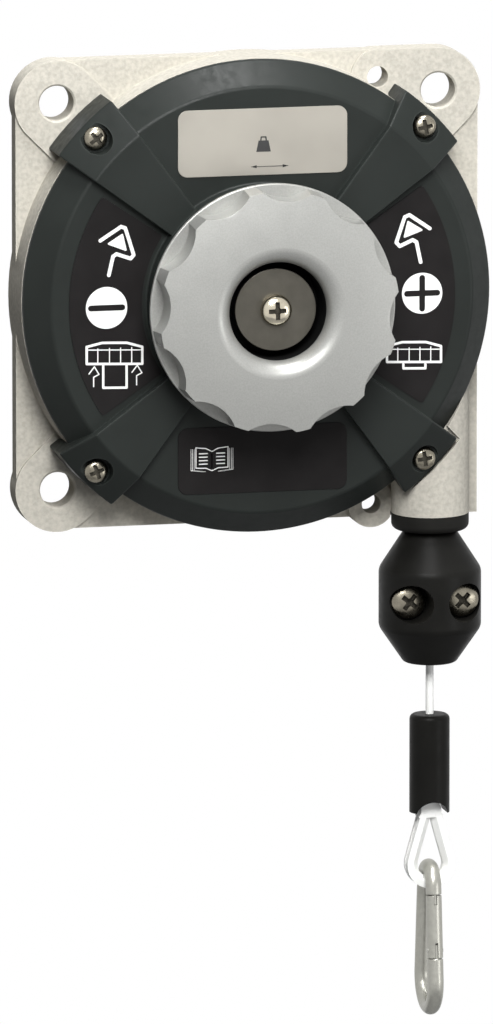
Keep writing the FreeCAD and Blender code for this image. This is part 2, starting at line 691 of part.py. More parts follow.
def make_front_bush():
    """Flanged bush that carries the arbor in the cover."""
    body = new_body("front_bush")
    revolve(body, "XY", [
        ("arbor_radius + run_gap", "-web_back_depth + flange_thick"),
        ("flange_radius", "-web_back_depth + flange_thick"),
        ("flange_radius", "-web_back_depth"), ("bush_seat - seat_gap", "-web_back_depth"),
        ("bush_seat - seat_gap", "-web_depth"), ("arbor_radius + run_gap", "-web_depth"),
    ])


def make_label(name, up):
    """Rounded rectangular plate on the panel."""
    body = new_body(name, 0, 0, f"{up} * label_z")
    face = new_sketch(body, "XZ", "panel_depth")
    rectangle(face, "-label_width / 2", "label_width / 2",
              "-label_height / 2", "label_height / 2")
    pad(body, face, "label_thick")
    dress(body, "Fillet", "label_round",
          lambda edge, middle: near(abs(edge.tangentAt(edge.FirstParameter).y), 1))


def make_side_label(name, side):
    """Label that follows the panel's ring between two arms."""
    body = new_body(name)
    inner, outer = f"{side} * sector_inner", f"{side} * sector_outer"
    face = "-panel_depth - label_thick"
    revolve(body, "XY", [
        (inner, "-panel_depth"), (outer, "-panel_depth"), (outer, face), (inner, face),
    ], angle="sector_half * 2", Midplane=True)


# ---------------------------------------------------------------- knob and arbor

def make_adjustment_knob():
    body = new_body("adjustment_knob")
    revolve(body, "XY", [
        (0, "-hub_back"), ("hub_radius", "-hub_back"), ("hub_radius", "-knob_back"),
        ("knob_base - turned_edge", "-knob_back"), ("knob_base", "-knob_back - turned_edge"),
        ("knob_base - knob_flare / 4", "-knob_ledge"),
        ("knob_radius", "-knob_front + knob_dome + knob_edge"),
        ("knob_radius - knob_edge", "-knob_front + knob_dome"),
        ("recess_radius + recess_round", "-knob_front"),
        ("recess_radius", "-knob_front + recess_round"), ("recess_radius", "-recess_floor"),
        (0, "-recess_floor"),
    ])
    cutter = new_sketch(body, "XZ", "knob_front + overrun", "flute_turn")
    circle(cutter, "flute_centre", 0, "flute_radius")
    flute = pocket(body, cutter, "knob_front + overrun - knob_ledge")
    repeat_round(body, [flute], "flute_count")

    bore = new_sketch(body, "XZ", "recess_floor")
    hexagon(bore, 0, 0, "arbor_flats + run_gap * 2")
    pocket(body, bore, "recess_floor - hub_back")

    tooth = new_sketch(body, "XZ", "hub_back - tooth_height", "180 / tooth_count")
    tooth_outline(tooth)
    first = pad(body, tooth, "tooth_height")
    repeat_round(body, [first], "tooth_count")


def tooth_outline(sketch):
    """One tooth of the face clutch in plan."""
    corners = []
    for radius, side in (("tooth_inner", -1), ("hub_radius - seat_gap", -1),
                         ("hub_radius - seat_gap", 1), ("tooth_inner", 1)):
        corners.append((f"({radius}) * cos(tooth_angle)",
                        f"{side} * ({radius}) * sin(tooth_angle)"))
    outline(sketch, corners)


def make_ratchet_ring():
    """Toothed ring fixed in the collar: it holds the setting while the knob is in."""
    body = new_body("ratchet_ring")
    ring = new_sketch(body, "XZ", "web_depth")
    circle(ring, 0, 0, "hub_radius + ring_rim")
    circle(ring, 0, 0, "tooth_inner - ring_rim")
    pad(body, ring, "ring_plate")
    tooth = new_sketch(body, "XZ", "ring_front")
    tooth_outline(tooth)
    first = pad(body, tooth, "tooth_height")
    repeat_round(body, [first], "tooth_count")


def make_spring_arbor():
    body = new_body("spring_arbor")
    revolve(body, "XY", [
        (0, "-journal_end"), ("journal_radius - turned_edge", "-journal_end"),
        ("journal_radius", "-journal_end - turned_edge"),
        ("journal_radius", "-bearing_depth - part_gap"),
        ("arbor_radius", "-bearing_depth - part_gap"), ("arbor_radius", "-arbor_round_end"),
        (0, "-arbor_round_end"),
    ])
    head = new_sketch(body, "XZ", "arbor_round_end")
    hexagon(head, 0, 0, "arbor_flats")
    pad(body, head, "arbor_front - arbor_round_end")
    thread = new_sketch(body, "XZ", "arbor_front")
    circle(thread, 0, 0, "axle_shank + screw_gap")
    pocket(body, thread, "axle_length + part_gap")


def make_knob_washer():
    body = new_body("knob_washer")
    plate = new_sketch(body, "XZ", "arbor_front")
    circle(plate, 0, 0, "washer_radius")
    circle(plate, 0, 0, "axle_shank + screw_gap")
    pad(body, plate, "washer_thick")
    face = -size("washer_front")
    outer = size("washer_radius")
    dress(body, "Chamfer", "washer_thick / 4",
          lambda edge, middle: near(middle.y, face)
          and near(math.hypot(middle.x, middle.z), outer))


def make_knob_screw():
    body = new_body("knob_screw")
    revolve(body, "XY", [
        (0, "-washer_front - axle_head_height"),
        ("axle_head_radius * 0.6", "-washer_front - axle_head_height"),
        ("axle_head_radius", "-washer_front - axle_head_height * 0.5"),
        ("axle_head_radius", "-washer_front"), ("axle_shank", "-washer_front"),
        ("axle_shank", "-arbor_front + axle_length"),
        (0, "-arbor_front + axle_length"),
    ])


def make_knob_spring():
    """Outer form of the coil spring that draws the knob back in."""
    body = new_body("knob_spring")
    coil = new_sketch(body, "XZ", "recess_floor")
    circle(coil, 0, 0, "coil_inner + coil_wall")
    circle(coil, 0, 0, "coil_inner")
    pad(body, coil, "coil_length")


# ---------------------------------------------------------------------- the drum

def make_drum():
    body = new_body("drum")
    lane = "cable_x - cable_radius - seat_gap"
    bore = "arbor_radius + run_gap + bush_wall + seat_gap"
    revolve(body, "XY", [
        (bore, "-drum_back"), ("hub_outer", "-drum_back"), ("hub_outer", "-drum_front + drum_web"),
        ("drum_bore", "-drum_front + drum_web"), ("drum_bore", "-drum_back"),
        ("drum_flange", "-drum_back"), ("drum_flange", "-drum_back - flange_edge"),
        (lane, "-drum_back - flange_edge"), (lane, "-drum_front + flange_edge"),
        ("drum_flange", "-drum_front + flange_edge"), ("drum_flange", "-drum_front"),
        (bore, "-drum_front"),
    ])


def make_drum_bush():
    body = new_body("drum_bush")
    revolve(body, "XY", [
        ("arbor_radius + run_gap", "-drum_back"),
        ("arbor_radius + run_gap + bush_wall", "-drum_back"),
        ("arbor_radius + run_gap + bush_wall", "-drum_front"),
        ("arbor_radius + run_gap", "-drum_front"),
    ])


def make_cable_winding():
    """The turns of cable on the drum, as one ring of their outer form."""
    body = new_body("cable_winding")
    revolve(body, "XY", [
        ("cable_x - cable_radius", "-drum_back - flange_edge - seat_gap"),
        ("cable_x + cable_radius", "-drum_back - flange_edge - seat_gap"),
        ("cable_x + cable_radius", "-drum_front + flange_edge + seat_gap"),
        ("cable_x - cable_radius", "-drum_front + flange_edge + seat_gap"),
    ])


def make_mainspring():
    """Spiral strip made of half turns about two centres in turn."""
    half = size("strip_thick") / 2
    step = size("strip_pitch") / 2
    radius = size("strip_inner")
    floor = -size("drum_front - drum_web - part_gap")
    width = size("drum_front - drum_web - part_gap - drum_back - lid_thick - part_gap")
    inner, outer = [], []
    for turn in range(2 * int(size("strip_turns"))):
        lower = turn % 2 == 1
        centre = step if lower else 0.0
        side = -1 if lower else 1
        for edges, reach in ((inner, radius - half), (outer, radius + half)):
            points = [
                FreeCAD.Vector(centre + side * reach, floor, 0),
                FreeCAD.Vector(centre, floor, side * reach),
                FreeCAD.Vector(centre - side * reach, floor, 0),
            ]
            edges.append(Part.Arc(*points).toShape())
        radius += step
    start = Part.LineSegment(inner[0].valueAt(inner[0].FirstParameter),
                             outer[0].valueAt(outer[0].FirstParameter)).toShape()
    finish = Part.LineSegment(inner[-1].valueAt(inner[-1].LastParameter),
                              outer[-1].valueAt(outer[-1].LastParameter)).toShape()
    loop = Part.Wire(Part.__sortEdges__(inner + outer + [start, finish]))
    strip = Part.Face(loop).extrude(FreeCAD.Vector(0, width, 0))
    from_shape("mainspring", strip)


def make_spring_lid():
    body = new_body("spring_lid")
    disc = new_sketch(body, "XZ", "drum_back")
    circle(disc, 0, 0, "drum_bore - seat_gap")
    circle(disc, 0, 0, "hub_outer + seat_gap")
    pad(body, disc, "lid_thick")


# --------------------------------------------------------------- cable and stopper

def make_cable_run():
    """The stretch of cable between the drum and the stopper."""
    free = "sqrt((cable_x + cable_radius + part_gap)^2 - (cable_x - cable_radius)^2)"
    body = new_body("cable_run", "cable_x", "-cable_depth", f"-({free})")
    section = new_sketch(body, "XY")
    circle(section, 0, 0, "cable_radius")
    pad(body, section, f"stopper_top - {free}", Reversed=True)


def make_cable_tail():
    """The stretch of cable from the stopper to the ferrule."""
    body = new_body("cable_tail", "cable_x", "-cable_depth", "-stopper_top")
    section = new_sketch(body, "XY")
    circle(section, 0, 0, "cable_radius")
    pad(body, section, "sleeve_top + sleeve_cap - stopper_top", Reversed=True)


def make_stopper(name, front):
    """One half of the clamp: a ring with two cones, split along the cable."""
    body = new_body(name, "cable_x", "-cable_depth", "-stopper_top")
    bore = "cable_radius + screw_gap"
    revolve(body, "XZ", [
        (bore, 0), ("stopper_end - stopper_edge", 0), ("stopper_end", "-stopper_edge"),
        ("stopper_radius", "-stopper_cone"),
        ("stopper_radius", "-stopper_cone - stopper_band"),
        ("stopper_end", "-stopper_length + stopper_edge"),
        ("stopper_end - stopper_edge", "-stopper_length"),
        (bore, "-stopper_length"),
    ], angle=180, Reversed=front)
    outward = "stopper_radius + overrun"
    reach = outward if front else f"-({outward})"
    hole = new_sketch(body, "XZ", reach)
    for side in (-1, 1):
        circle(hole, f"{side} * clamp_screw_x", "-clamp_screw_z", "clamp_shank + screw_gap")
    pocket(body, hole, outward, Reversed=not front)
    sink = new_sketch(body, "XZ", reach)
    for side in (-1, 1):
        if front:
            circle(sink, f"{side} * clamp_screw_x", "-clamp_screw_z", "clamp_sink")
        else:
            hexagon(sink, f"{side} * clamp_screw_x", "-clamp_screw_z", "nut_flats + part_gap")
    floor = "clamp_face - clamp_height" if front else "nut_seat"
    pocket(body, sink, f"{outward} - ({floor})", Reversed=not front)


def make_clamp_screw(number, side):
    body = new_body(f"clamp_screw_{number}", f"cable_x + {side} * clamp_screw_x",
                    "-cable_depth", "-stopper_top - clamp_screw_z")
    revolve(body, "XY", [
        (0, "-clamp_face"), ("clamp_head * 0.6", "-clamp_face"),
        ("clamp_head", "-clamp_face + clamp_height * 0.5"),
        ("clamp_head", "-clamp_face + clamp_height"),
        ("clamp_shank", "-clamp_face + clamp_height"), ("clamp_shank", "clamp_tip"),
        (0, "clamp_tip"),
    ])


def make_clamp_nut(number, side):
    body = new_body(f"clamp_nut_{number}", f"cable_x + {side} * clamp_screw_x",
                    "-cable_depth", "-stopper_top - clamp_screw_z")
    nut = new_sketch(body, "XZ", "-nut_seat")
    hexagon(nut, 0, 0, "nut_flats")
    circle(nut, 0, 0, "clamp_shank + screw_gap")
    pad(body, nut, "nut_height", Reversed=True)


def make_cable_sleeve():
    body = new_body("cable_sleeve", "cable_x", "-cable_depth", 0)
    revolve(body, "XZ", [
        ("cable_radius + cord_gap", "-sleeve_top"), ("sleeve_radius - sleeve_edge", "-sleeve_top"),
        ("sleeve_radius", "-sleeve_top - sleeve_edge"), ("sleeve_radius", "-sleeve_bottom"),
        ("sleeve_bore", "-sleeve_bottom"), ("sleeve_bore", "-sleeve_top - sleeve_cap"),
        ("cable_radius + cord_gap", "-sleeve_top - sleeve_cap"),
    ])
    arch = new_sketch(body, "XZ", "sleeve_radius + overrun")
    circle(arch, 0, "-sleeve_bottom - arch_drop", "arch_radius")
    pocket(body, arch, "2 * (sleeve_radius + overrun)")


def make_crimp_ferrule():
    """Oval aluminium ferrule that joins the two strands of the loop."""
    body = new_body("crimp_ferrule", "cable_x", "-cable_depth", "-sleeve_top - sleeve_cap - clutch_gap")
    section = new_sketch(body, "XY")
    half_x = "strand_offset + cable_radius + crimp_end"
    half_y = "cable_radius + crimp_wall"
    bevel = "cable_radius * 0.7"
    outline(section, [
        (f"-({half_x}) + {bevel}", f"-({half_y})"), (f"{half_x} - {bevel}", f"-({half_y})"),
        (half_x, f"-({half_y}) + {bevel}"), (half_x, f"{half_y} - {bevel}"),
        (f"{half_x} - {bevel}", half_y), (f"-({half_x}) + {bevel}", half_y),
        (f"-({half_x})", f"{half_y} - {bevel}"), (f"-({half_x})", f"-({half_y}) + {bevel}"),
    ])
    for side in (-1, 1):
        circle(section, f"{side} * strand_offset", 0, "cable_radius + crimp_gap")
    pad(body, section, "crimp_length", Reversed=True)


# ------------------------------------------------------------------ thimble, loop

def taper_angle():
    """Half angle between the two straight sides of the thimble."""
    return math.asin(size("eye_radius") / size("eye_apex"))


def teardrop_wire(radius):
    """Closed outline: an arc below and two tangent sides that meet above it."""
    lean = taper_angle()
    apex = FreeCAD.Vector(0, 0, radius / math.sin(lean))
    left = FreeCAD.Vector(-radius * math.cos(lean), 0, radius * math.sin(lean))
    right = FreeCAD.Vector(radius * math.cos(lean), 0, radius * math.sin(lean))
    below = FreeCAD.Vector(0, 0, -radius)
    return Part.Wire([
        Part.LineSegment(apex, left).toShape(),
        Part.Arc(left, below, right).toShape(),
        Part.LineSegment(right, apex).toShape(),
    ])


def strand_path(radius):
    """Open line of the cable: down one side of the thimble, round it and up again."""
    lean = taper_angle()
    offset = size("strand_offset")
    reach = radius / math.sin(lean) - offset / math.tan(lean)
    top = size("eye_z - sleeve_top - sleeve_cap - 2 * clutch_gap")
    places = {}
    for side in (-1, 1):
        places[side] = [
            FreeCAD.Vector(side * offset, 0, top),
            FreeCAD.Vector(side * offset, 0, reach),
            FreeCAD.Vector(side * radius * math.cos(lean), 0, radius * math.sin(lean)),
        ]
    edges = rounded_corner(*places[-1])
    below = FreeCAD.Vector(0, 0, -radius)
    edges.append(Part.Arc(places[-1][2], below, places[1][2]).toShape())
    edges += rounded_corner(places[1][2], places[1][1], places[1][0])
    return Part.Wire(edges)


def rounded_corner(start, corner, finish):
    """Two straight runs joined by an arc that touches both."""
    cut = 0.45 * min((corner - start).Length, (finish - corner).Length)
    before = (start - corner).normalize()
    after = (finish - corner).normalize()
    entry = corner + before * cut
    leave = corner + after * cut
    half = before.getAngle(after) / 2
    middle = (before + after).normalize()
    crown = corner + middle * (cut / math.cos(half) - cut * math.tan(half))
    return [
        Part.LineSegment(start, entry).toShape(),
        Part.Arc(entry, crown, leave).toShape(),
        Part.LineSegment(leave, finish).toShape(),
    ]


def swept_round(path, radius):
    """A round bar along a path of straight runs and arcs."""
    bars = []
    for edge in path.OrderedEdges:
        start, finish = edge.FirstParameter, edge.LastParameter
        ring = Part.makeCircle(radius, edge.valueAt(start), edge.tangentAt(start))
        section = Part.Face(Part.Wire(ring))
        if edge.Curve.TypeId == "Part::GeomLine":
            bars.append(section.extrude(edge.valueAt(finish) - edge.valueAt(start)))
        else:
            turn = math.degrees(finish - start)
            bars.append(section.revolve(edge.Curve.Center, edge.Curve.Axis, turn))
    return bars[0].fuse(bars[1:]).removeSplitter()


def teardrop_bar(inner, outer, width):
    """Bar of rectangular section between two teardrops, centred front to back."""
    bar = Part.Face(teardrop_wire(outer)).cut(Part.Face(teardrop_wire(inner)))
    bar = bar.extrude(FreeCAD.Vector(0, width, 0))
    bar.translate(FreeCAD.Vector(0, -width / 2, 0))
    return bar


def make_thimble():
    """Teardrop with a convex eye and a groove for the cable round its edge."""
    width = size("thimble_width")
    rim = size("eye_radius + thimble_band")
    body = teardrop_bar(size("eye_radius"), rim, width)
    inner_rims = [edge for edge in body.Edges if on_eye_rim(edge, width / 2)]
    body = body.makeChamfer(size("thimble_bevel"), inner_rims)
    reach = 4 * rim
    crop = Part.makeBox(2 * reach, 2 * width, reach,
                        FreeCAD.Vector(-reach, -width, size("thimble_top")))
    body = body.cut(crop)
    half_groove = size("cable_radius + cord_gap")
    groove_floor = rim - size("groove_depth") - half_groove
    body = body.cut(teardrop_bar(groove_floor, rim + size("overrun"), 2 * half_groove))
    from_shape("thimble", body.Solids[0], "cable_x", "-cable_depth", "-eye_z")


def on_eye_rim(edge, half_width):
    """True for the eye's edges on the front and rear faces."""
    middle = edge.valueAt((edge.FirstParameter + edge.LastParameter) / 2)
    lean = taper_angle()
    side = abs(middle.x) * math.cos(lean) + middle.z * math.sin(lean)
    reach = size("eye_radius + cord_gap")
    return side < reach and middle.z > -reach and near(abs(middle.y), half_width)


def make_cable_loop():
    radius = size("eye_radius + thimble_band - groove_depth")
    bar = swept_round(strand_path(radius), size("cable_radius"))
    from_shape("cable_loop", bar, "cable_x", "-cable_depth", "-eye_z")


# ---------------------------------------------------------------------- carabiner

def leg_lean():
    """Angle of the carabiner's legs from the vertical."""
    spread = size("basket_radius - bow_radius")
    return math.asin(spread / size("bow_distance"))


def leg_point(side, along):
    """A point on a leg's axis: side -1 is the front leg; along is measured down it."""
    lean = leg_lean()
    top = size("bow_radius")
    y = side * (top * math.cos(lean) + along * math.sin(lean))
    z = top * math.sin(lean) - along * math.cos(lean)
    return FreeCAD.Vector(0, y, z)


def leg_frame(along):
    """Placement on the front leg: its Z points up along the leg."""
    turn = FreeCAD.Rotation(FreeCAD.Vector(1, 0, 0), -math.degrees(leg_lean()))
    return FreeCAD.Placement(leg_point(-1, along), turn)


def tongue(low, high, round_low):
    """Flat tongue on the leg's axis between two heights in the leg's frame."""
    half = size("tongue_half")
    reach = size("wire_radius") * 0.85
    slab = Part.makeBox(2 * half, 2 * reach, high - low, FreeCAD.Vector(-half, -reach, low))
    if round_low:
        tip = Part.makeCylinder(reach, 2 * half, FreeCAD.Vector(-half, 0, high),
                                FreeCAD.Vector(1, 0, 0))
        slab = slab.fuse(tip)
    return slab


def make_carabiner_body():
    """Bent wire with a nose tongue above the gate and a hinge tongue below it."""
    leg = math.sqrt(size("bow_distance") ** 2 - size("basket_radius - bow_radius") ** 2)
    nose = size("gate_start")
    pivot = nose + size("gate_length")
    heel = pivot + size("wire_radius + gate_gap")
    drop = -size("bow_distance")
    bow = FreeCAD.Vector(0, 0, size("bow_radius"))
    basket = FreeCAD.Vector(0, 0, drop - size("basket_radius"))
    path = Part.Wire([
        Part.LineSegment(leg_point(-1, nose), leg_point(-1, 0)).toShape(),
        Part.Arc(leg_point(-1, 0), bow, leg_point(1, 0)).toShape(),
        Part.LineSegment(leg_point(1, 0), leg_point(1, leg)).toShape(),
        Part.Arc(leg_point(1, leg), basket, leg_point(-1, leg)).toShape(),
        Part.LineSegment(leg_point(-1, leg), leg_point(-1, heel)).toShape(),
    ])
    wire = swept_round(path, size("wire_radius"))
    frame = leg_frame(pivot)
    over = size("overrun")
    upper = tongue(pivot - nose - size("nose_tongue"), pivot - nose + over, False)
    lower = tongue(-size("wire_radius + gate_gap") - over, 0, True)
    hole = Part.makeCylinder(size("pivot_radius"), 2 * over,
                             FreeCAD.Vector(-over, 0, 0), FreeCAD.Vector(1, 0, 0))
    lower = lower.cut(hole)
    for piece in (upper, lower):
        piece.Placement = frame.multiply(piece.Placement)
    whole = wire.fuse([upper, lower]).removeSplitter()
    from_shape("carabiner_body", whole.Solids[0], "cable_x", "-cable_depth", "-bow_z")


def make_carabiner_gate():
    """Bar with a slot for the nose tongue and a rounded fork on the pivot."""
    radius = size("wire_radius")
    length = size("gate_length - gate_gap")
    slot = size("slot_half")
    bar = Part.makeCylinder(radius, length)
    knuckle = Part.makeCylinder(radius, 2 * radius, FreeCAD.Vector(-radius, 0, 0),
                                FreeCAD.Vector(1, 0, 0))
    column = Part.makeCylinder(radius, 2 * radius, FreeCAD.Vector(0, 0, -radius))
    gate = bar.fuse(knuckle.common(column))
    depth = 2 * (radius + size("overrun"))
    nose = Part.makeBox(2 * slot, depth, size("nose_tongue + overrun"),
                        FreeCAD.Vector(-slot, -depth / 2,
                                       size("gate_length - nose_tongue - gate_gap")))
    knuckle_reach = radius + size("part_gap")
    fork = Part.makeBox(2 * slot, depth, 2 * knuckle_reach,
                        FreeCAD.Vector(-slot, -depth / 2, -knuckle_reach))
    hole = Part.makeCylinder(size("pivot_radius"), depth, FreeCAD.Vector(-depth / 2, 0, 0),
                             FreeCAD.Vector(1, 0, 0))
    gate = gate.cut([nose, fork, hole]).removeSplitter()
    frame = leg_frame(size("gate_start + gate_length"))
    gate.Placement = frame
    from_shape("carabiner_gate", gate.Solids[0], 0, 0, 0)
    hang(pieces[-1], gate)


def hang(piece, shape):
    """Carry a piece of the carabiner from the bow's centre to its place."""
    shift = FreeCAD.Vector(size("cable_x"), -size("cable_depth"), -size("bow_z"))
    place = shape.Placement.copy()
    place.Base = place.Base + shift
    piece.Placement = place


def make_gate_pin():
    """Rivet through the gate's fork and the hinge tongue."""
    length = 2 * size("wire_radius")
    pin = Part.makeCylinder(size("pivot_radius"), length,
                            FreeCAD.Vector(-length / 2, 0, 0), FreeCAD.Vector(1, 0, 0))
    pin.Placement = leg_frame(size("gate_start + gate_length")).multiply(pin.Placement)
    from_shape("gate_pin", pin, 0, 0, 0)
    hang(pieces[-1], pin)


# ---------------------------------------------------------------- build and export

def build_all():
    fill_sheet()
    make_housing()
    make_front_cover()
    for number, (across, up) in enumerate(((-1, 1), (1, 1), (-1, -1), (1, -1)), start=1):
        over_outlet = across > 0 and up < 0
        make_cover_screw(number, across, up, "short_shank" if over_outlet else "shank_length")
    make_front_bush()
    make_label("rating_plate", 1)
    make_label("lower_label", -1)
    make_side_label("left_label", -1)
    make_side_label("right_label", 1)
    make_adjustment_knob()
    make_ratchet_ring()
    make_spring_arbor()
    make_knob_washer()
    make_knob_screw()
    make_knob_spring()
    make_drum()
    make_drum_bush()
    make_cable_winding()
    make_mainspring()
    make_spring_lid()
    make_cable_guide()
    make_bumper()
    make_cable_run()
    make_cable_tail()
    make_stopper("stopper_front", True)
    make_stopper("stopper_back", False)
    for number, side in enumerate((-1, 1), start=1):
        make_clamp_screw(number, side)
        make_clamp_nut(number, side)
    make_cable_sleeve()
    make_crimp_ferrule()
    make_thimble()
    make_cable_loop()
    make_carabiner_body()
    make_carabiner_gate()
    make_gate_pin()


def check_all():
    """Stop at any failed object, or at a sub-part with no sound solid."""
    doc.recompute()
    for thing in doc.Objects:
        if {"Invalid", "Error"} & set(thing.State):
            raise ValueError(f"{thing.Name} failed: {thing.State}")
    for piece in pieces:
        shape = piece.Shape
        if shape.isNull() or not shape.isValid() or shape.Volume <= 0:
            raise ValueError(f"{piece.Label} has no valid shape")


def export_all():
    os.makedirs("parts", exist_ok=True)
    for piece in pieces:
        shape = piece.Shape
        box = shape.BoundBox
        print(f"{piece.Label:18s} solids {len(shape.Solids)} volume {shape.Volume:10.2f}"
              f"  x {box.XMin:7.2f} {box.XMax:7.2f}  y {box.YMin:7.2f} {box.YMax:7.2f}"
              f"  z {box.ZMin:8.2f} {box.ZMax:8.2f}")
        shape.exportStep(f"parts/{piece.Label}.step")


build_all()
check_all()
export_all()
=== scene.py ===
"""Looks of a spring tool balancer: casting, cover, knob, cable stopper and snap hook."""

import math

import bmesh
import bpy
from mathutils import Matrix, Vector


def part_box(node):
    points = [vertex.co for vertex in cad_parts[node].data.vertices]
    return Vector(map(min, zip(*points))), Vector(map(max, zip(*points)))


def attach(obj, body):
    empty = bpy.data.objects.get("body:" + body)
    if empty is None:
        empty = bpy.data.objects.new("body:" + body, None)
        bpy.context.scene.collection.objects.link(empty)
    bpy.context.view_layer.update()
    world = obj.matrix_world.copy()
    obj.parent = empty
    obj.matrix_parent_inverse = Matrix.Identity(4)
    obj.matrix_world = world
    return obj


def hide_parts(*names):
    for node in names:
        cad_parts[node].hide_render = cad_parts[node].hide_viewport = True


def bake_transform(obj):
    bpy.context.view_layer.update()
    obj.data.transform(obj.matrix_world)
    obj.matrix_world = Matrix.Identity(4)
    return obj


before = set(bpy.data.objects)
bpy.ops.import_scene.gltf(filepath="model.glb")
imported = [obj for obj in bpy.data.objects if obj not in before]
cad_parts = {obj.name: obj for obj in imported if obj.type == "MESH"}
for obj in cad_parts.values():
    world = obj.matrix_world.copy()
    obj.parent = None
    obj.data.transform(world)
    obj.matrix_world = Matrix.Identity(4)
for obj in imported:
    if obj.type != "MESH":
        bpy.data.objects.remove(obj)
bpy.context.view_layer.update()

bl_info = {
    "name": "Tool balancer",
    "version": (1, 0, 0),
    "blender": (4, 5, 0),
    "location": "View3D > Sidebar > Balancer",
    "description": "Models and finishes the pieces of a spring tool balancer",
    "category": "Object",
}

MM = 0.001
# Pieces that face the user are modelled lying on their back: x right, y up, z towards the user.
FACING = Matrix.Rotation(math.radians(90), 4, "X")
UPRIGHT = Matrix.Identity(4)


def box_mm(node):
    """Lowest and highest corner of a CAD piece, in millimetres."""
    low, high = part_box(node)
    return low / MM, high / MM


def half_width(node):
    low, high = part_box(node)
    return (high.x - low.x) / 2


# Sizes in millimetres that several pieces share.
COIL_WALL = 2.0
SCREW_AT = 43.0
FLUTES = 12
GATE_LENGTH = 14.2
TONGUE = 0.6
CABLE_X = sum(corner.x for corner in box_mm("cable_tail")) / 2
CABLE_Y = sum(corner.y for corner in box_mm("cable_tail")) / 2
CABLE_LINE = Matrix.Translation((CABLE_X, CABLE_Y, 0))


# ---------------------------------------------------------------- sizes and colours

def length(name, description, default):
    return bpy.props.FloatProperty(
        name=name, description=description, default=default, min=0, subtype="DISTANCE", unit="LENGTH")


def colour(name, description, default):
    return bpy.props.FloatVectorProperty(
        name=name, description=description, default=default, min=0, max=1, size=3, subtype="COLOR")


class BalancerSizes(bpy.types.PropertyGroup):
    casting_edge: length("Casting edge", "Rounding of the casting's edges", 0.00045)
    cover_edge: length("Cover edge", "Rounding of the cover's rim and arms", 0.0005)
    knob_radius: length("Knob radius", "Radius of the knob's plain rear rim", half_width("adjustment_knob"))
    knob_edge: length("Knob edge", "Rounding of the knob's edges", 0.00035)
    flute_radius: length("Flute radius", "Radius of a flute in the knob", 0.0108)
    flute_depth: length("Flute depth", "How deep a flute cuts into the knob", 0.0026)
    stopper_edge: length("Stopper edge", "Rounding between the stopper's cones and its middle", 0.001)
    print_rise: length("Print rise", "How far the printed signs stand proud", 0.00005)


class BalancerColours(bpy.types.PropertyGroup):
    casting: colour("Casting", "Blasted die casting", (0.43, 0.41, 0.36))
    cover: colour("Cover", "Moulded cover", (0.0155, 0.018, 0.0165))
    knob: colour("Knob", "Silver paint of the knob", (0.3, 0.301, 0.287))
    screws: colour("Screws", "Nickel plated screws", (0.24, 0.22, 0.175))
    washer: colour("Washer", "Turned steel washer", (0.075, 0.07, 0.058))
    film: colour("Label film", "Black printed film", (0.0125, 0.0115, 0.0115))
    plate: colour("Rating plate", "Satin metal plate", (0.33, 0.312, 0.275))
    signs: colour("Signs", "White print", (0.8, 0.8, 0.785))
    rubber: colour("Rubber", "Bumper and stopper", (0.0085, 0.0083, 0.0075))
    cable: colour("Cable", "White coated cable", (0.95, 0.955, 0.93))
    zinc: colour("Zinc", "Zinc plated hook", (0.38, 0.376, 0.338))


def sizes():
    return bpy.context.scene.balancer_sizes


def colours():
    return bpy.context.scene.balancer_colours


# ---------------------------------------------------------------- shaping

def near(a, b, slack=0.02):
    return abs(a - b) < slack


def lathe(bm, points, steps=96, closed=False, turn=360.0, start=0.0, centre=(0.0, 0.0)):
    """Spin a profile of (radius, height) points round the local z axis."""
    cx, cy = centre
    c, s = math.cos(math.radians(start)), math.sin(math.radians(start))
    verts = [bm.verts.new((cx + r * c, cy + r * s, h)) for r, h in points]
    pairs = list(zip(verts, verts[1:]))
    if closed:
        pairs.append((verts[-1], verts[0]))
    edges = [bm.edges.new(pair) for pair in pairs]
    full = near(turn, 360.0)
    bmesh.ops.spin(
        bm, geom=verts + edges, cent=(cx, cy, 0), axis=(0, 0, 1), dvec=(0, 0, 0),
        angle=math.radians(turn), steps=steps, use_merge=full)
    tidy(bm)


def tidy(bm):
    """Merge doubles, close open ends and turn every face outwards."""
    bmesh.ops.remove_doubles(bm, verts=bm.verts, dist=0.0005)
    open_edges = [e for e in bm.edges if e.is_boundary]
    if open_edges:
        bmesh.ops.holes_fill(bm, edges=open_edges, sides=0)
    bmesh.ops.recalc_face_normals(bm, faces=bm.faces)


def soften(bm, width, where=None, sharper=25.0, segments=3):
    """Round the sharp edges whose middle the test accepts."""
    limit = math.radians(sharper)
    chosen = []
    for edge in bm.edges:
        if not edge.is_manifold or edge.calc_face_angle() < limit:
            continue
        if where is None or where((edge.verts[0].co + edge.verts[1].co) / 2):
            chosen.append(edge)
    if chosen:
        bmesh.ops.bevel(
            bm, geom=chosen, offset=width, offset_type="OFFSET", segments=segments,
            profile=0.5, affect="EDGES", clamp_overlap=True, material=-1)
    bmesh.ops.recalc_face_normals(bm, faces=bm.faces)


def at_ring(radius, height, centre=(0.0, 0.0)):
    """A test for edges that lie on a ring of this radius and height."""
    def test(middle):
        r = math.hypot(middle.x - centre[0], middle.y - centre[1])
        return abs(r - radius) < 0.12 and near(middle.z, height, 0.05)
    return test


def rod(radius, low, high, x=0.0, y=0.0, segments=48, lying=UPRIGHT):
    """A plain round bar along the local z axis, used to cut holes."""
    bm = bmesh.new()
    place = lying @ Matrix.Translation((x, y, (low + high) / 2))
    bmesh.ops.create_cone(
        bm, cap_ends=True, segments=segments, radius1=radius, radius2=radius,
        depth=high - low, matrix=place)
    return bm


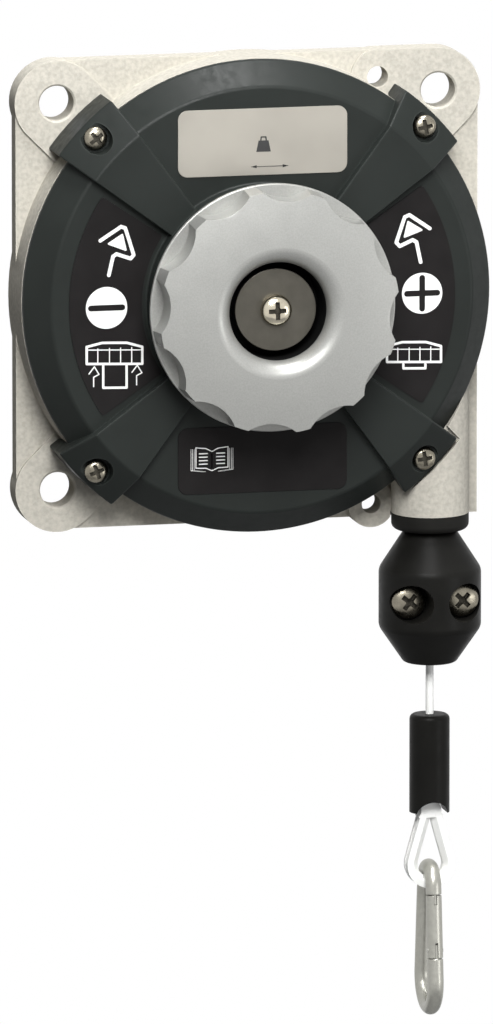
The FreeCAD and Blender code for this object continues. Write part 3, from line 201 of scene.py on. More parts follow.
def tube(points, radius, segments=40):
    """A round bar along a line that lies in a plane across the local x axis."""
    bm = bmesh.new()
    side = Vector((1, 0, 0))
    rings = []
    for number, point in enumerate(points):
        before = points[max(number - 1, 0)]
        after = points[min(number + 1, len(points) - 1)]
        up = (after - before).normalized().cross(side)
        ring = []
        for step in range(segments):
            angle = 2 * math.pi * step / segments
            ring.append(bm.verts.new(point + (side * math.cos(angle) + up * math.sin(angle)) * radius))
        rings.append(ring)
    for low, high in zip(rings, rings[1:]):
        for step in range(segments):
            bm.faces.new((low[step - 1], low[step], high[step], high[step - 1]))
    bm.faces.new(rings[0])
    bm.faces.new(rings[-1])
    bmesh.ops.recalc_face_normals(bm, faces=bm.faces)
    return bm


def block(size, centre, turn=0.0):
    """A plain block, used to cut slots."""
    bm = bmesh.new()
    place = (Matrix.Translation(centre) @ Matrix.Rotation(math.radians(turn), 4, "Z")
             @ Matrix.Diagonal((*size, 1)))
    bmesh.ops.create_cube(bm, size=1, matrix=place)
    return bm


def loose_object(name, bm):
    mesh = bpy.data.meshes.new(name)
    bm.to_mesh(mesh)
    bm.free()
    piece = bpy.data.objects.new(name, mesh)
    bpy.context.scene.collection.objects.link(piece)
    return piece


def carved(bm, *cutters, join=False):
    """The shape with the cutters taken away, or joined to it."""
    piece = loose_object("carving", bm)
    for cutter in cutters:
        bmesh.ops.recalc_face_normals(cutter, faces=cutter.faces)
        tool = loose_object("cutter", cutter)
        step = piece.modifiers.new("carve", "BOOLEAN")
        step.operation = "UNION" if join else "DIFFERENCE"
        step.solver = "EXACT"
        step.object = tool
        shaped = bpy.data.meshes.new_from_object(
            piece.evaluated_get(bpy.context.evaluated_depsgraph_get()))
        piece.modifiers.clear()
        piece.data = shaped
        bpy.data.objects.remove(tool)
    result = bmesh.new()
    result.from_mesh(piece.data)
    bpy.data.objects.remove(piece)
    bmesh.ops.remove_doubles(result, verts=result.verts, dist=0.0005)
    bmesh.ops.recalc_face_normals(result, faces=result.faces)
    return result


def copy_of(node, slack=0.15):
    """A CAD piece as one merged mesh of flat faces, in millimetres."""
    bm = bmesh.new()
    bm.from_mesh(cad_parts[node].data)
    bmesh.ops.scale(bm, vec=Vector((1, 1, 1)) / MM, verts=bm.verts)
    bmesh.ops.remove_doubles(bm, verts=bm.verts, dist=0.001)
    bmesh.ops.dissolve_limit(
        bm, angle_limit=math.radians(slack), verts=bm.verts, edges=bm.edges, use_dissolve_boundaries=False)
    bmesh.ops.recalc_face_normals(bm, faces=bm.faces)
    return bm


def finished(name, bm, body, nodes, material, place=UPRIGHT, smooth=32.0, recess=None):
    """Turn a shape into a piece of the balancer that moves with a body."""
    bmesh.ops.transform(bm, matrix=Matrix.Scale(MM, 4) @ place, verts=bm.verts)
    bmesh.ops.recalc_face_normals(bm, faces=bm.faces)
    piece = loose_object(name, bm)
    piece.data.materials.append(material)
    # A second material, where given, paints the shade of a deep recess onto its faces.
    if recess:
        piece.data.materials.append(recess)
    piece.data.shade_smooth()
    piece.data.set_sharp_from_angle(angle=math.radians(smooth))
    even = piece.modifiers.new("even shading", "WEIGHTED_NORMAL")
    even.keep_sharp = True
    if body:
        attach(piece, body)
    if nodes:
        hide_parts(*nodes)
    return piece


# ---------------------------------------------------------------- finishes

def fill(node, values):
    """Set the inputs of a shader node by their names."""
    for name, value in values.items():
        node.inputs[name].default_value = value


def finish(name, base, roughness, metallic=0.0, specular=0.5, cloud=None, worn=None, gloss=None,
           relief=None, rings=None):
    """The material of this name, made on first use from the tuples that its parts take."""
    material = bpy.data.materials.get(name)
    if material:
        return material
    material = bpy.data.materials.new(name)
    material.use_nodes = True
    material.diffuse_color = (*base, 1)
    tree = material.node_tree
    shader = tree.nodes["Principled BSDF"]
    fill(shader, {"Base Color": (*base, 1), "Roughness": roughness, "Metallic": metallic,
                  "Specular IOR Level": specular})
    mottle(tree, shader, base, *cloud, worn)
    if gloss:
        uneven_gloss(tree, shader, *gloss)
    if relief:
        grain(tree, shader, *relief)
    if rings:
        turned_lines(tree, shader, *rings)
    return material


def object_noise(tree, scale, detail=3.0, stretch=(1, 1, 1)):
    """Noise that stays fixed on the piece; scale counts cells per metre."""
    where = tree.nodes.new("ShaderNodeTexCoord")
    mapping = tree.nodes.new("ShaderNodeMapping")
    noise = tree.nodes.new("ShaderNodeTexNoise")
    fill(mapping, {"Scale": stretch})
    fill(noise, {"Scale": scale, "Detail": detail})
    tree.links.new(where.outputs["Object"], mapping.inputs["Vector"])
    tree.links.new(mapping.outputs["Vector"], noise.inputs["Vector"])
    return noise.outputs["Fac"]


def shades(tree, factor, dark, light, low=0.35, high=0.65):
    """A ramp between two colours."""
    ramp = tree.nodes.new("ShaderNodeValToRGB")
    ramp.color_ramp.elements[0].position = low
    ramp.color_ramp.elements[0].color = (*dark, 1)
    ramp.color_ramp.elements[1].position = high
    ramp.color_ramp.elements[1].color = (*light, 1)
    tree.links.new(factor, ramp.inputs["Fac"])
    return ramp.outputs["Color"]


def scaled(base, by):
    return tuple(min(1.0, part * by) for part in base)


def mottle(tree, shader, base, scale, amount, worn=None, reach=0.0007):
    """Cloudy colour, and paler worn edges where a worn colour is given."""
    cloud = shades(tree, object_noise(tree, scale), scaled(base, 1 - amount), scaled(base, 1 + amount))
    if worn is None:
        tree.links.new(cloud, shader.inputs["Base Color"])
        return
    geometry = tree.nodes.new("ShaderNodeNewGeometry")
    rounded = tree.nodes.new("ShaderNodeBevel")
    rounded.samples = 4
    rounded.inputs["Radius"].default_value = reach
    match = tree.nodes.new("ShaderNodeVectorMath")
    match.operation = "DOT_PRODUCT"
    tree.links.new(geometry.outputs["Normal"], match.inputs[0])
    tree.links.new(rounded.outputs["Normal"], match.inputs[1])
    edge = shades(tree, match.outputs["Value"], (1, 1, 1), (0, 0, 0), 0.86, 0.99)
    mix = tree.nodes.new("ShaderNodeMixRGB")
    mix.inputs["Color2"].default_value = (*worn, 1)
    tree.links.new(edge, mix.inputs["Fac"])
    tree.links.new(cloud, mix.inputs["Color1"])
    tree.links.new(mix.outputs["Color"], shader.inputs["Base Color"])


def uneven_gloss(tree, shader, scale, low, high):
    spread = tree.nodes.new("ShaderNodeMapRange")
    fill(spread, {"From Min": 0.3, "From Max": 0.7, "To Min": low, "To Max": high})
    tree.links.new(object_noise(tree, scale, 4.0), spread.inputs["Value"])
    tree.links.new(spread.outputs["Result"], shader.inputs["Roughness"])


def grain(tree, shader, scale, strength, depth, stretch=(1, 1, 1)):
    """Fine relief of a blasted or moulded skin."""
    bump = tree.nodes.new("ShaderNodeBump")
    fill(bump, {"Strength": strength, "Distance": depth})
    tree.links.new(object_noise(tree, scale, 2.0, stretch), bump.inputs["Height"])
    tree.links.new(bump.outputs["Normal"], shader.inputs["Normal"])


def turned_lines(tree, shader, scale, strength):
    """Rings that a lathe leaves, round the middle of the knob."""
    where = tree.nodes.new("ShaderNodeTexCoord")
    wave = tree.nodes.new("ShaderNodeTexWave")
    wave.wave_type = "RINGS"
    wave.rings_direction = "Y"
    fill(wave, {"Scale": scale})
    bump = tree.nodes.new("ShaderNodeBump")
    fill(bump, {"Strength": strength, "Distance": 0.00003})
    tree.links.new(where.outputs["Object"], wave.inputs["Vector"])
    tree.links.new(wave.outputs["Fac"], bump.inputs["Height"])
    tree.links.new(bump.outputs["Normal"], shader.inputs["Normal"])


def blasted_casting():
    base = tuple(colours().casting)
    return finish("Blasted casting", base, 0.5, specular=0.0, cloud=(950.0, 0.10), worn=scaled(base, 1.15),
                  gloss=(700.0, 0.42, 0.6), relief=(1100.0, 0.6, 0.00011))


def moulded_cover():
    base = tuple(colours().cover)
    return finish("Moulded cover", base, 0.4, specular=0.11, cloud=(60.0, 0.08), worn=scaled(base, 1.9),
                  gloss=(500.0, 0.34, 0.48), relief=(3600.0, 0.22, 0.00004))


def silver_paint():
    return finish("Silver paint", tuple(colours().knob), 0.38, metallic=0.5, specular=0.1, cloud=(2600.0, 0.05),
                  gloss=(180.0, 0.34, 0.42), relief=(3000.0, 0.08, 0.00002))


# Near-black finish for the deep inside of the knob's bore: painted shade of the deep hole.
def knob_bore_painted_shade():
    return finish("Knob bore painted shade", (0.006, 0.006, 0.006), 0.7, specular=0.04, cloud=(200.0, 0.2),
                  relief=(1600.0, 0.1, 0.00002))


def plated_screws():
    return finish("Nickel plate", tuple(colours().screws), 0.27, metallic=1.0, cloud=(420.0, 0.22),
                  gloss=(900.0, 0.2, 0.36), relief=(1400.0, 0.10, 0.00003))


def bright_screw():
    return finish("Bright plate", scaled(tuple(colours().screws), 2.4), 0.16, metallic=1.0, cloud=(500.0, 0.08),
                  gloss=(700.0, 0.12, 0.22))


# Dark finish for the faces deep in a cross recess: painted shade, not a colour of the screw.
def screw_recess_painted_shade():
    return finish("Screw recess painted shade", scaled(tuple(colours().screws), 0.22), 0.6, metallic=0.6, specular=0.2,
                  cloud=(900.0, 0.3))


def turned_washer():
    return finish("Turned steel", tuple(colours().washer), 0.42, metallic=0.8, cloud=(300.0, 0.08),
                  rings=(1400.0, 0.35))


def label_film():
    return finish("Label film", tuple(colours().film), 0.4, specular=0.06, cloud=(130.0, 0.1),
                  gloss=(300.0, 0.36, 0.44), relief=(800.0, 0.03, 0.00002))


def satin_plate():
    return finish("Satin plate", tuple(colours().plate), 0.36, metallic=0.4, specular=0.2, cloud=(45.0, 0.07),
                  relief=(700.0, 0.10, 0.00003, (0.06, 1, 1)))


def sign_print():
    return finish("White print", tuple(colours().signs), 0.5, cloud=(500.0, 0.03))


def dark_print():
    return finish("Dark print", (0.012, 0.012, 0.012), 0.5, cloud=(500.0, 0.2))


def rubber_skin():
    return finish("Rubber", scaled(tuple(colours().rubber), 1.2), 0.6, specular=0.08, cloud=(150.0, 0.15),
                  relief=(2600.0, 0.16, 0.00003))


def satin_stopper():
    return finish("Satin black", tuple(colours().rubber), 0.38, specular=0.06, cloud=(110.0, 0.12),
                  gloss=(400.0, 0.33, 0.45), relief=(3200.0, 0.10, 0.00002))


def cable_coating():
    return finish("Cable coating", tuple(colours().cable), 0.4, cloud=(240.0, 0.025),
                  relief=(1100.0, 0.12, 0.00003))


def white_nylon():
    return finish("White nylon", tuple(colours().cable), 0.46, cloud=(120.0, 0.03),
                  relief=(1800.0, 0.06, 0.00002))


def zinc_wire():
    return finish("Zinc plate", tuple(colours().zinc), 0.34, metallic=0.75, specular=0.15, cloud=(900.0, 0.05),
                  gloss=(900.0, 0.32, 0.4), relief=(1600.0, 0.06, 0.00002))


def inner_finish(name, base, roughness, metallic, scale):
    """A finish of a piece inside the housing."""
    return finish(name, base, roughness, metallic, cloud=(scale, 0.1),
                  gloss=(scale * 2, roughness * 0.85, roughness * 1.15), relief=(scale * 6, 0.08, 0.00003))


def ground_steel():
    return inner_finish("Ground steel", (0.5, 0.5, 0.5), 0.35, 0.9, 300)


# ---------------------------------------------------------------- printed signs

def dot(bm, centre, radius, height, rise, segments=36):
    place = Matrix.Translation((centre[0], centre[1], height + rise / 2))
    bmesh.ops.create_cone(
        bm, cap_ends=True, segments=segments, radius1=radius, radius2=radius, depth=rise, matrix=place)


def bar(bm, a, b, width, height, rise):
    """A flat bar with round ends between two points."""
    across = Vector((b[0] - a[0], b[1] - a[1]))
    turn = Matrix.Rotation(math.atan2(across.y, across.x), 4, "Z")
    middle = Matrix.Translation(((a[0] + b[0]) / 2, (a[1] + b[1]) / 2, height + rise / 2))
    bmesh.ops.create_cube(bm, size=1, matrix=middle @ turn @ Matrix.Diagonal((across.length, width, rise, 1)))
    dot(bm, a, width / 2, height, rise * 0.86, 16)
    dot(bm, b, width / 2, height, rise * 0.8, 16)


def stroke(bm, points, width, height, rise, closed=False):
    """A line through the points. Neighbours differ a little in height, so that no faces coincide."""
    ends = points[1:] + points[:1] if closed else points[1:]
    for number, (a, b) in enumerate(zip(points, ends)):
        bar(bm, a, b, width, height, rise * (1.0 + 0.3 * (number % 2)))


def patch(bm, points, height, rise):
    """A flat filled outline."""
    verts = [bm.verts.new((x, y, height)) for x, y in points]
    face = bm.faces.new(verts)
    raised = bmesh.ops.extrude_face_region(bm, geom=[face])
    lifted = [item for item in raised["geom"] if isinstance(item, bmesh.types.BMVert)]
    bmesh.ops.translate(bm, vec=(0, 0, rise), verts=lifted)


def turn_arrow(bm, points, head, height, rise):
    """A bent arrow: a line that folds round a filled head."""
    stroke(bm, points, 0.95, height, rise)
    patch(bm, head, height, rise * 1.5)
    stroke(bm, head, 0.5, height, rise, closed=True)


def knob_sign(bm, left, right, top, bottom, lean, height, rise):
    """A knob seen from the side, with its flutes."""
    width = right - left
    slant = 0.9
    rim = [
        (left, bottom), (left, top - slant), (left + width * 0.28, top),
        (left + width * 0.72, top + lean * 0.4), (right, top - slant + lean), (right, bottom + lean),
    ]
    stroke(bm, rim, 0.62, height, rise, closed=True)
    for part in (0.2, 0.41, 0.61, 0.81):
        x = left + width * part
        stroke(bm, [(x, bottom), (x, top - 1.5)], 0.26, height, rise * 0.7)
    stroke(bm, [(left, top - 1.7), (right, top - 1.7 + lean)], 0.26, height, rise * 0.6)


# ---------------------------------------------------------------- pieces

class BALANCER_OT_casting(bpy.types.Operator):
    """Make the die-cast housing with its lugs and cable outlet"""
    bl_idname = "balancer.casting"
    bl_label = "Casting"

    def execute(self, context):
        bm = copy_of("housing")
        soften(bm, sizes().casting_edge / MM, sharper=35.0, segments=2)
        finished("casting", bm, "housing", ["housing"], blasted_casting(), smooth=40.0)
        return {"FINISHED"}


class BALANCER_OT_cover(bpy.types.Operator):
    """Make the round front cover with its collar, four arms and screw sinks"""
    bl_idname = "balancer.cover"
    bl_label = "Front cover"

    def execute(self, context):
        edge = sizes().cover_edge / MM
        rim, shoulder, collar, mouth = 61.2, 55.1, 30.2, 27.5
        foot, skirt, front, collar_face, hub = 16.05, 17.2, 23.5, 33.5, 7.7
        bm = bmesh.new()
        lathe(bm, [
            (58.0, foot), (rim, foot), (rim, skirt), (shoulder, front), (collar, front),
            (collar, collar_face), (mouth, collar_face), (mouth, 22.5), (hub, 22.5), (hub, 19.6),
            (28.0, 19.6), (28.0, 21.3), (53.0, 21.3),
        ], steps=180, closed=True)
        soften(bm, edge, where=at_ring(rim, skirt))
        soften(bm, edge * 1.3, where=at_ring(shoulder, front))
        soften(bm, 0.7, where=at_ring(collar, collar_face))
        soften(bm, 0.5, where=at_ring(mouth, collar_face))
        soften(bm, 0.6, where=at_ring(collar, front))
        span, sink = 17.2, 3.8
        for quarter in range(4):
            crosses_outlet = quarter == 3
            low = 17.5 if crosses_outlet else 7.2
            arm = bmesh.new()
            lathe(arm, [
                (28.9, 21.5), (28.9, 26.5), (55.0, 26.5), (64.9, 19.5), (64.9, low), (61.6, low), (59.0, 17.0),
            ], steps=8, closed=True, turn=span, start=45.0 + 90.0 * quarter - span / 2)
            soften(arm, edge * 0.9, where=lambda middle, low=low: middle.z > low + 0.5 and
                   math.hypot(middle.x, middle.y) > 29.5, segments=3)
            bm = carved(bm, arm, join=True)
        for x in (-SCREW_AT, SCREW_AT):
            for y in (-SCREW_AT, SCREW_AT):
                bm = carved(bm, rod(sink, 20.4, 30.0, x, y))
                soften(bm, 0.3, where=lambda middle, x=x, y=y: near(
                    math.hypot(middle.x - x, middle.y - y), sink, 0.05) and middle.z > 20.6, segments=2)
        finished("cover", bm, "housing", ["front_cover"], moulded_cover(), FACING, smooth=28.0)
        return {"FINISHED"}


def screw_shape(radius, seat, face, shank, tip, x, y, turn, slot_width, slot_span, slot_depth):
    """A pan-head screw with a cross recess, its axis along the local z."""
    tall = face - seat
    bm = bmesh.new()
    lathe(bm, [
        (0, tip), (shank, tip), (shank, seat), (radius, seat), (radius, seat + tall * 0.42),
        (radius * 0.93, seat + tall * 0.66), (radius * 0.74, seat + tall * 0.87),
        (radius * 0.42, seat + tall * 0.98), (0, face),
    ], steps=48, centre=(x, y))
    soften(bm, radius * 0.04, where=at_ring(radius, seat + tall * 0.42, (x, y)), sharper=15, segments=2)
    for angle in (turn, turn + 90.0):
        bm = carved(bm, block((slot_span, slot_width, slot_depth * 2), (x, y, face), angle))
    bm = carved(bm, rod(slot_width * 0.85, face - slot_depth * 1.25, face + 1, x, y, 24))
    # The faces deep in the cross recess take the second material, which is painted shade.
    for part in bm.faces:
        middle = part.calc_center_median()
        off = math.hypot(middle.x - x, middle.y - y)
        dome = face - tall * 0.13 * (off / (radius * 0.74)) ** 2
        if off < slot_span * 0.55 and middle.z < dome - slot_depth * 0.2:
            part.material_index = 1
    return bm


def cross_screw(node, name, body, material, radius, tall, shank, turn, recess):
    """A finished screw in the place of a CAD one; the recess is given by its width, span and depth."""
    low, high = box_mm(node)
    x, y = (low.x + high.x) / 2, (low.z + high.z) / 2
    bm = screw_shape(radius, -low.y - tall, -low.y, shank, -high.y + 0.2, x, y, turn, *recess)
    finished(name, bm, body, [node], material, FACING, recess=screw_recess_painted_shade())


class BALANCER_OT_cover_screws(bpy.types.Operator):
    """Make the four cross-recessed cover screws"""
    bl_idname = "balancer.cover_screws"
    bl_label = "Cover screws"

    def execute(self, context):
        turns = (38.0, 12.0, 20.0, 8.0)
        for number, turn in enumerate(turns, 1):
            node = f"cover_screw_{number}"
            cross_screw(node, node + "_looks", "housing", plated_screws(), radius=3.0, tall=2.0,
                        shank=1.4, turn=turn, recess=(1.0, 3.9, 1.0))
        return {"FINISHED"}


class BALANCER_OT_knob(bpy.types.Operator):
    """Make the fluted adjustment knob"""
    bl_idname = "balancer.knob"
    bl_label = "Adjustment knob"

    def execute(self, context):
        radius = sizes().knob_radius / MM
        edge = sizes().knob_edge / MM
        flute = sizes().flute_radius / MM
        face, ledge, back, bore = 45.0, 35.6, 34.25, 12.7
        side = radius - 0.8
        bm = bmesh.new()
        lathe(bm, [
            (6.4, 30.0), (bore, 30.0), (bore, face), (17.0, face), (20.0, face - 0.12), (24.0, face - 0.45),
            (27.5, face - 0.9), (side, face - 1.4), (side + 0.5, ledge), (radius, ledge - 0.02),
            (radius, back), (26.0, back), (26.0, 41.2), (17.0, 41.2), (17.0, 27.6), (6.4, 27.6),
        ], steps=240, closed=True)
        soften(bm, 4.2, where=at_ring(bore, face), segments=10)
        soften(bm, 0.3, where=at_ring(radius, ledge - 0.02), segments=2)
        soften(bm, 0.3, where=at_ring(radius, back), segments=2)
        reach = side - sizes().flute_depth / MM + flute
        for first in (0, 1):
            cutter = bmesh.new()
            for number in range(first, FLUTES, 2):
                angle = math.radians(26.3 + 360.0 / FLUTES * number)
                place = Matrix.Translation((reach * math.cos(angle), reach * math.sin(angle), ledge + 10.0))
                bmesh.ops.create_cone(cutter, cap_ends=True, segments=96, radius1=flute, radius2=flute,
                                      depth=20.0, matrix=place)
            bm = carved(bm, cutter)
        soften(bm, edge, sharper=22, segments=3,
               where=lambda m: math.hypot(m.x, m.y) > 24.0 and m.z > ledge + 0.1)
        # The deep inside of the bore takes the second material, which is painted shade.
        for part in bm.faces:
            middle = part.calc_center_median()
            if math.hypot(middle.x, middle.y) < bore + 0.1 and middle.z < face - 4.1:
                part.material_index = 1
        finished("knob", bm, "knob", ["adjustment_knob"], silver_paint(), FACING, smooth=30.0,
                 recess=knob_bore_painted_shade())
        return {"FINISHED"}


class BALANCER_OT_spindle(bpy.types.Operator):
    """Make the retaining washer and the central screw"""
    bl_idname = "balancer.spindle"
    bl_label = "Washer and central screw"

    def execute(self, context):
        low, high = box_mm("knob_washer")
        bm = bmesh.new()
        lathe(bm, [(2.6, -high.y), (10.6, -high.y), (10.6, -low.y), (2.6, -low.y)], steps=96, closed=True)
        soften(bm, 0.25, segments=2)
        finished("washer", bm, "arbor", ["knob_washer"], turned_washer(), FACING)
        low, high = box_mm("knob_screw")
        bm = screw_shape(4.0, -low.y - 2.55, -low.y, 2.35, -high.y + 0.2, x=0, y=0,
                         turn=2.0, slot_width=1.15, slot_span=4.6, slot_depth=1.2)
        finished("central_screw", bm, "arbor", ["knob_screw"], bright_screw(), FACING,
                 recess=screw_recess_painted_shade())
        return {"FINISHED"}


class BALANCER_OT_labels(bpy.types.Operator):
    """Make the rating plate, the three labels and their printed signs"""
    bl_idname = "balancer.labels"
    bl_label = "Labels and signs"

    def execute(self, context):
        rise = sizes().print_rise / MM
        self.plate("rating_plate", "plate", satin_plate())
        self.plate("lower_label", "label", label_film())
        for node, start in (("left_label", 180.0 - 34.1), ("right_label", -34.1)):
            low, high = box_mm(node)
            bm = bmesh.new()
            lathe(bm, [(31.6, -high.y), (50.5, -high.y), (50.5, -low.y), (31.6, -low.y)],
                  steps=48, closed=True, turn=68.2, start=start)
            soften(bm, 0.9, sharper=60, segments=4,
                   where=lambda middle: near(middle.z, -(low.y + high.y) / 2, 0.05))
            soften(bm, 0.06, sharper=50, segments=1, where=lambda middle, top=-low.y: near(middle.z, top))
            finished(node + "_film", bm, "housing", [node], label_film(), FACING)
        top = -box_mm("left_label")[0].y
        self.left_signs(top, rise)
        self.right_signs(top, rise)
        self.plate_signs(-box_mm("rating_plate")[0].y, rise)
        self.book_sign(-box_mm("lower_label")[0].y, rise)
        return {"FINISHED"}

    def plate(self, node, slot, material):
        """A flat label with round corners."""
        low, high = box_mm(node)
        bm = bmesh.new()
        centre = ((low.x + high.x) / 2, (low.z + high.z) / 2, -(low.y + high.y) / 2)
        size = (high.x - low.x, high.z - low.z, high.y - low.y)
        bmesh.ops.create_cube(bm, size=1, matrix=Matrix.Translation(centre) @ Matrix.Diagonal((*size, 1)))
        uprights = [e for e in bm.edges if near(e.verts[0].co.x, e.verts[1].co.x) and
                    near(e.verts[0].co.y, e.verts[1].co.y)]
        bmesh.ops.bevel(bm, geom=uprights, offset=2.5, offset_type="OFFSET", segments=8,
                        profile=0.5, affect="EDGES", material=-1)
        soften(bm, 0.07, sharper=50, segments=2, where=lambda middle: near(middle.z, -low.y))
        finished(node + "_skin", bm, "housing", [node], material, FACING)

    def left_signs(self, top, rise):
        bm = bmesh.new()
        turn_arrow(bm, [(-42.4, 17.0), (-37.0, 20.4), (-35.9, 20.0), (-33.7, 13.0), (-34.5, 12.1),
                        (-38.2, 13.4), (-39.1, 12.8), (-40.2, 8.0)],
                   [(-40.2, 16.1), (-36.7, 18.3), (-35.8, 14.4)], top, rise)
        dot(bm, (-40.8, -0.4), 5.4, top, rise, 64)
        knob_sign(bm, -46.0, -31.5, -9.4, -14.7, -0.5, top, rise)
        stroke(bm, [(-41.7, -15.1), (-41.7, -21.0), (-35.6, -21.2), (-35.6, -15.3)], 0.6, top, rise)
        for x in (-44.2, -33.0):
            stroke(bm, [(x - 1.2, -17.3), (x + 0.2, -15.5), (x + 1.4, -17.5), (x, -18.2), (x, -20.6)],
                   0.3, top, rise)
        finished("left_signs", bm, "housing", [], sign_print(), FACING)
        bm = bmesh.new()
        bar(bm, (-44.9, -0.4), (-36.7, -0.4), 1.5, top + rise, rise)
        finished("minus_sign", bm, "housing", [], label_film(), FACING)

    def right_signs(self, top, rise):
        bm = bmesh.new()
        turn_arrow(bm, [(43.8, 17.0), (38.4, 20.7), (37.2, 20.2), (35.0, 13.7), (35.9, 12.7), (39.3, 14.2),
                        (40.3, 13.6), (41.4, 8.4)],
                   [(41.6, 16.7), (38.1, 18.9), (37.2, 15.1)], top, rise)
        dot(bm, (41.8, 0.3), 5.3, top, rise, 64)
        knob_sign(bm, 32.6, 46.8, -12.2, -17.2, -0.5, top, rise)
        stroke(bm, [(36.9, -17.9), (36.9, -19.0), (42.7, -19.2), (42.7, -18.1)], 0.6, top, rise)
        finished("right_signs", bm, "housing", [], sign_print(), FACING)
        bm = bmesh.new()
        bar(bm, (37.8, 0.3), (45.8, 0.3), 1.5, top + rise, rise)
        bar(bm, (41.8, -3.7), (41.8, 4.3), 1.5, top + rise, rise * 1.2)
        finished("plus_sign", bm, "housing", [], label_film(), FACING)

    def plate_signs(self, top, rise):
        """A weight and a travel line, with no words."""
        bm = bmesh.new()
        patch(bm, [(-1.7, 38.4), (2.1, 38.4), (1.5, 41.3), (-1.1, 41.3)], top, rise)
        stroke(bm, [(-0.5, 41.4), (-0.4, 42.2), (0.8, 42.2), (0.9, 41.4)], 0.35, top, rise)
        bar(bm, (-3.0, 34.6), (6.6, 34.6), 0.16, top, rise)
        for x, way in ((-3.0, 1.0), (6.6, -1.0)):
            patch(bm, [(x, 34.6), (x + 1.4 * way, 35.0), (x + 1.4 * way, 34.2)][::int(way)], top, rise)
        finished("plate_signs", bm, "housing", [], dark_print(), FACING)

    def book_sign(self, top, rise):
        """An open book of instructions."""
        bm = bmesh.new()
        for way in (1.0, -1.0):
            def at(x, y):
                return (-13.3 + x * way, y)
            stroke(bm, [at(0, -43.6), at(0, -38.6), at(1.6, -37.8), at(4.2, -37.5), at(4.2, -42.8),
                        at(1.6, -42.9), at(0, -43.6)], 0.25, top, rise)
            for step in (0.45, 0.9, 1.3):
                stroke(bm, [at(4.2 + step, -37.9), at(4.2 + step, -43.4), at(1.2 + step, -43.8)],
                       0.12, top, rise)
            for y in (-39.1, -40.0, -40.9, -41.8):
                bar(bm, at(1.2, y), at(3.3, y), 0.28, top, rise)
        finished("book_sign", bm, "housing", [], sign_print(), FACING)


class BALANCER_OT_outlet(bpy.types.Operator):
    """Make the rubber bumper under the cable outlet"""
    bl_idname = "balancer.outlet"
    bl_label = "Outlet bumper"

    def execute(self, context):
        low, high = box_mm("bumper")
        radius = (high.x - low.x) / 2
        bm = bmesh.new()
        lathe(bm, [(3.6, high.z), (radius, high.z), (radius, low.z), (3.6, low.z)], steps=96, closed=True)
        soften(bm, 1.7, where=at_ring(radius, low.z), segments=5)
        soften(bm, 0.25, where=at_ring(radius, high.z), segments=2)
        finished("bumper_ring", bm, "housing", ["bumper"], rubber_skin(), CABLE_LINE)
        return {"FINISHED"}


class BALANCER_OT_stopper(bpy.types.Operator):
    """Make the two halves of the cable stopper, their screws and nuts"""
    bl_idname = "balancer.stopper"
    bl_label = "Cable stopper"

    def execute(self, context):
        low, high = box_mm("stopper_front")
        top, bottom = high.z, low.z
        edge = sizes().stopper_edge / MM
        level = (box_mm("clamp_screw_1")[0].z + box_mm("clamp_screw_1")[1].z) / 2
        sides = [sum(c.x for c in box_mm(n)) / 2 - CABLE_X for n in ("clamp_screw_1", "clamp_screw_2")]
        girth, neck, bore = 13.2, 6.75, 1.15
        upper, lower = top - 10.0, top - 25.1
        sink = 5.0
        for name, start, node in (("stopper_front_half", 180.0, "stopper_front"),
                                  ("stopper_back_half", 0.0, "stopper_back")):
            bm = bmesh.new()
            lathe(bm, [
                (bore, top), (neck, top), (girth, upper), (girth, lower), (neck, bottom), (bore, bottom),
            ], steps=72, closed=True, turn=180.0, start=start)
            soften(bm, edge, where=lambda m: near(m.z, upper, 0.05) or near(m.z, lower, 0.05),
                   sharper=15, segments=5)
            soften(bm, 0.7, sharper=25, segments=3, where=lambda m: abs(m.y) > 0.1 and math.hypot(m.x, m.y) > 5
                   and (near(m.z, top, 0.05) or near(m.z, bottom, 0.05)))
            for x in sides:
                if start:
                    cutter = rod(sink, 4.7, 30.0, x, level, 64, FACING)
                else:
                    cutter = rod(4.2, -30.0, -5.0, x, level, 6, FACING)
                bm = carved(bm, cutter)
            soften(bm, 0.3, sharper=20, segments=2, where=lambda m: any(
                near(math.hypot(m.x - x, m.z - level), sink, 0.06) for x in sides) and m.y < -5.0)
            soften(bm, 0.12, sharper=50, segments=1, where=lambda m: near(m.y, 0.0, 0.01))
            finished(name, bm, "hook", [node], satin_stopper(), CABLE_LINE)
        for number, turn in enumerate((52.0, 46.0), 1):
            node = f"clamp_screw_{number}"
            cross_screw(node, node + "_looks", "hook", plated_screws(), radius=4.5, tall=2.6,
                        shank=1.9, turn=turn, recess=(1.25, 4.7, 1.5))
            nut = f"clamp_nut_{number}"
            bm = copy_of(nut)
            soften(bm, 0.25, sharper=35, segments=2)
            finished(nut + "_looks", bm, "hook", [nut], plated_screws())
        return {"FINISHED"}


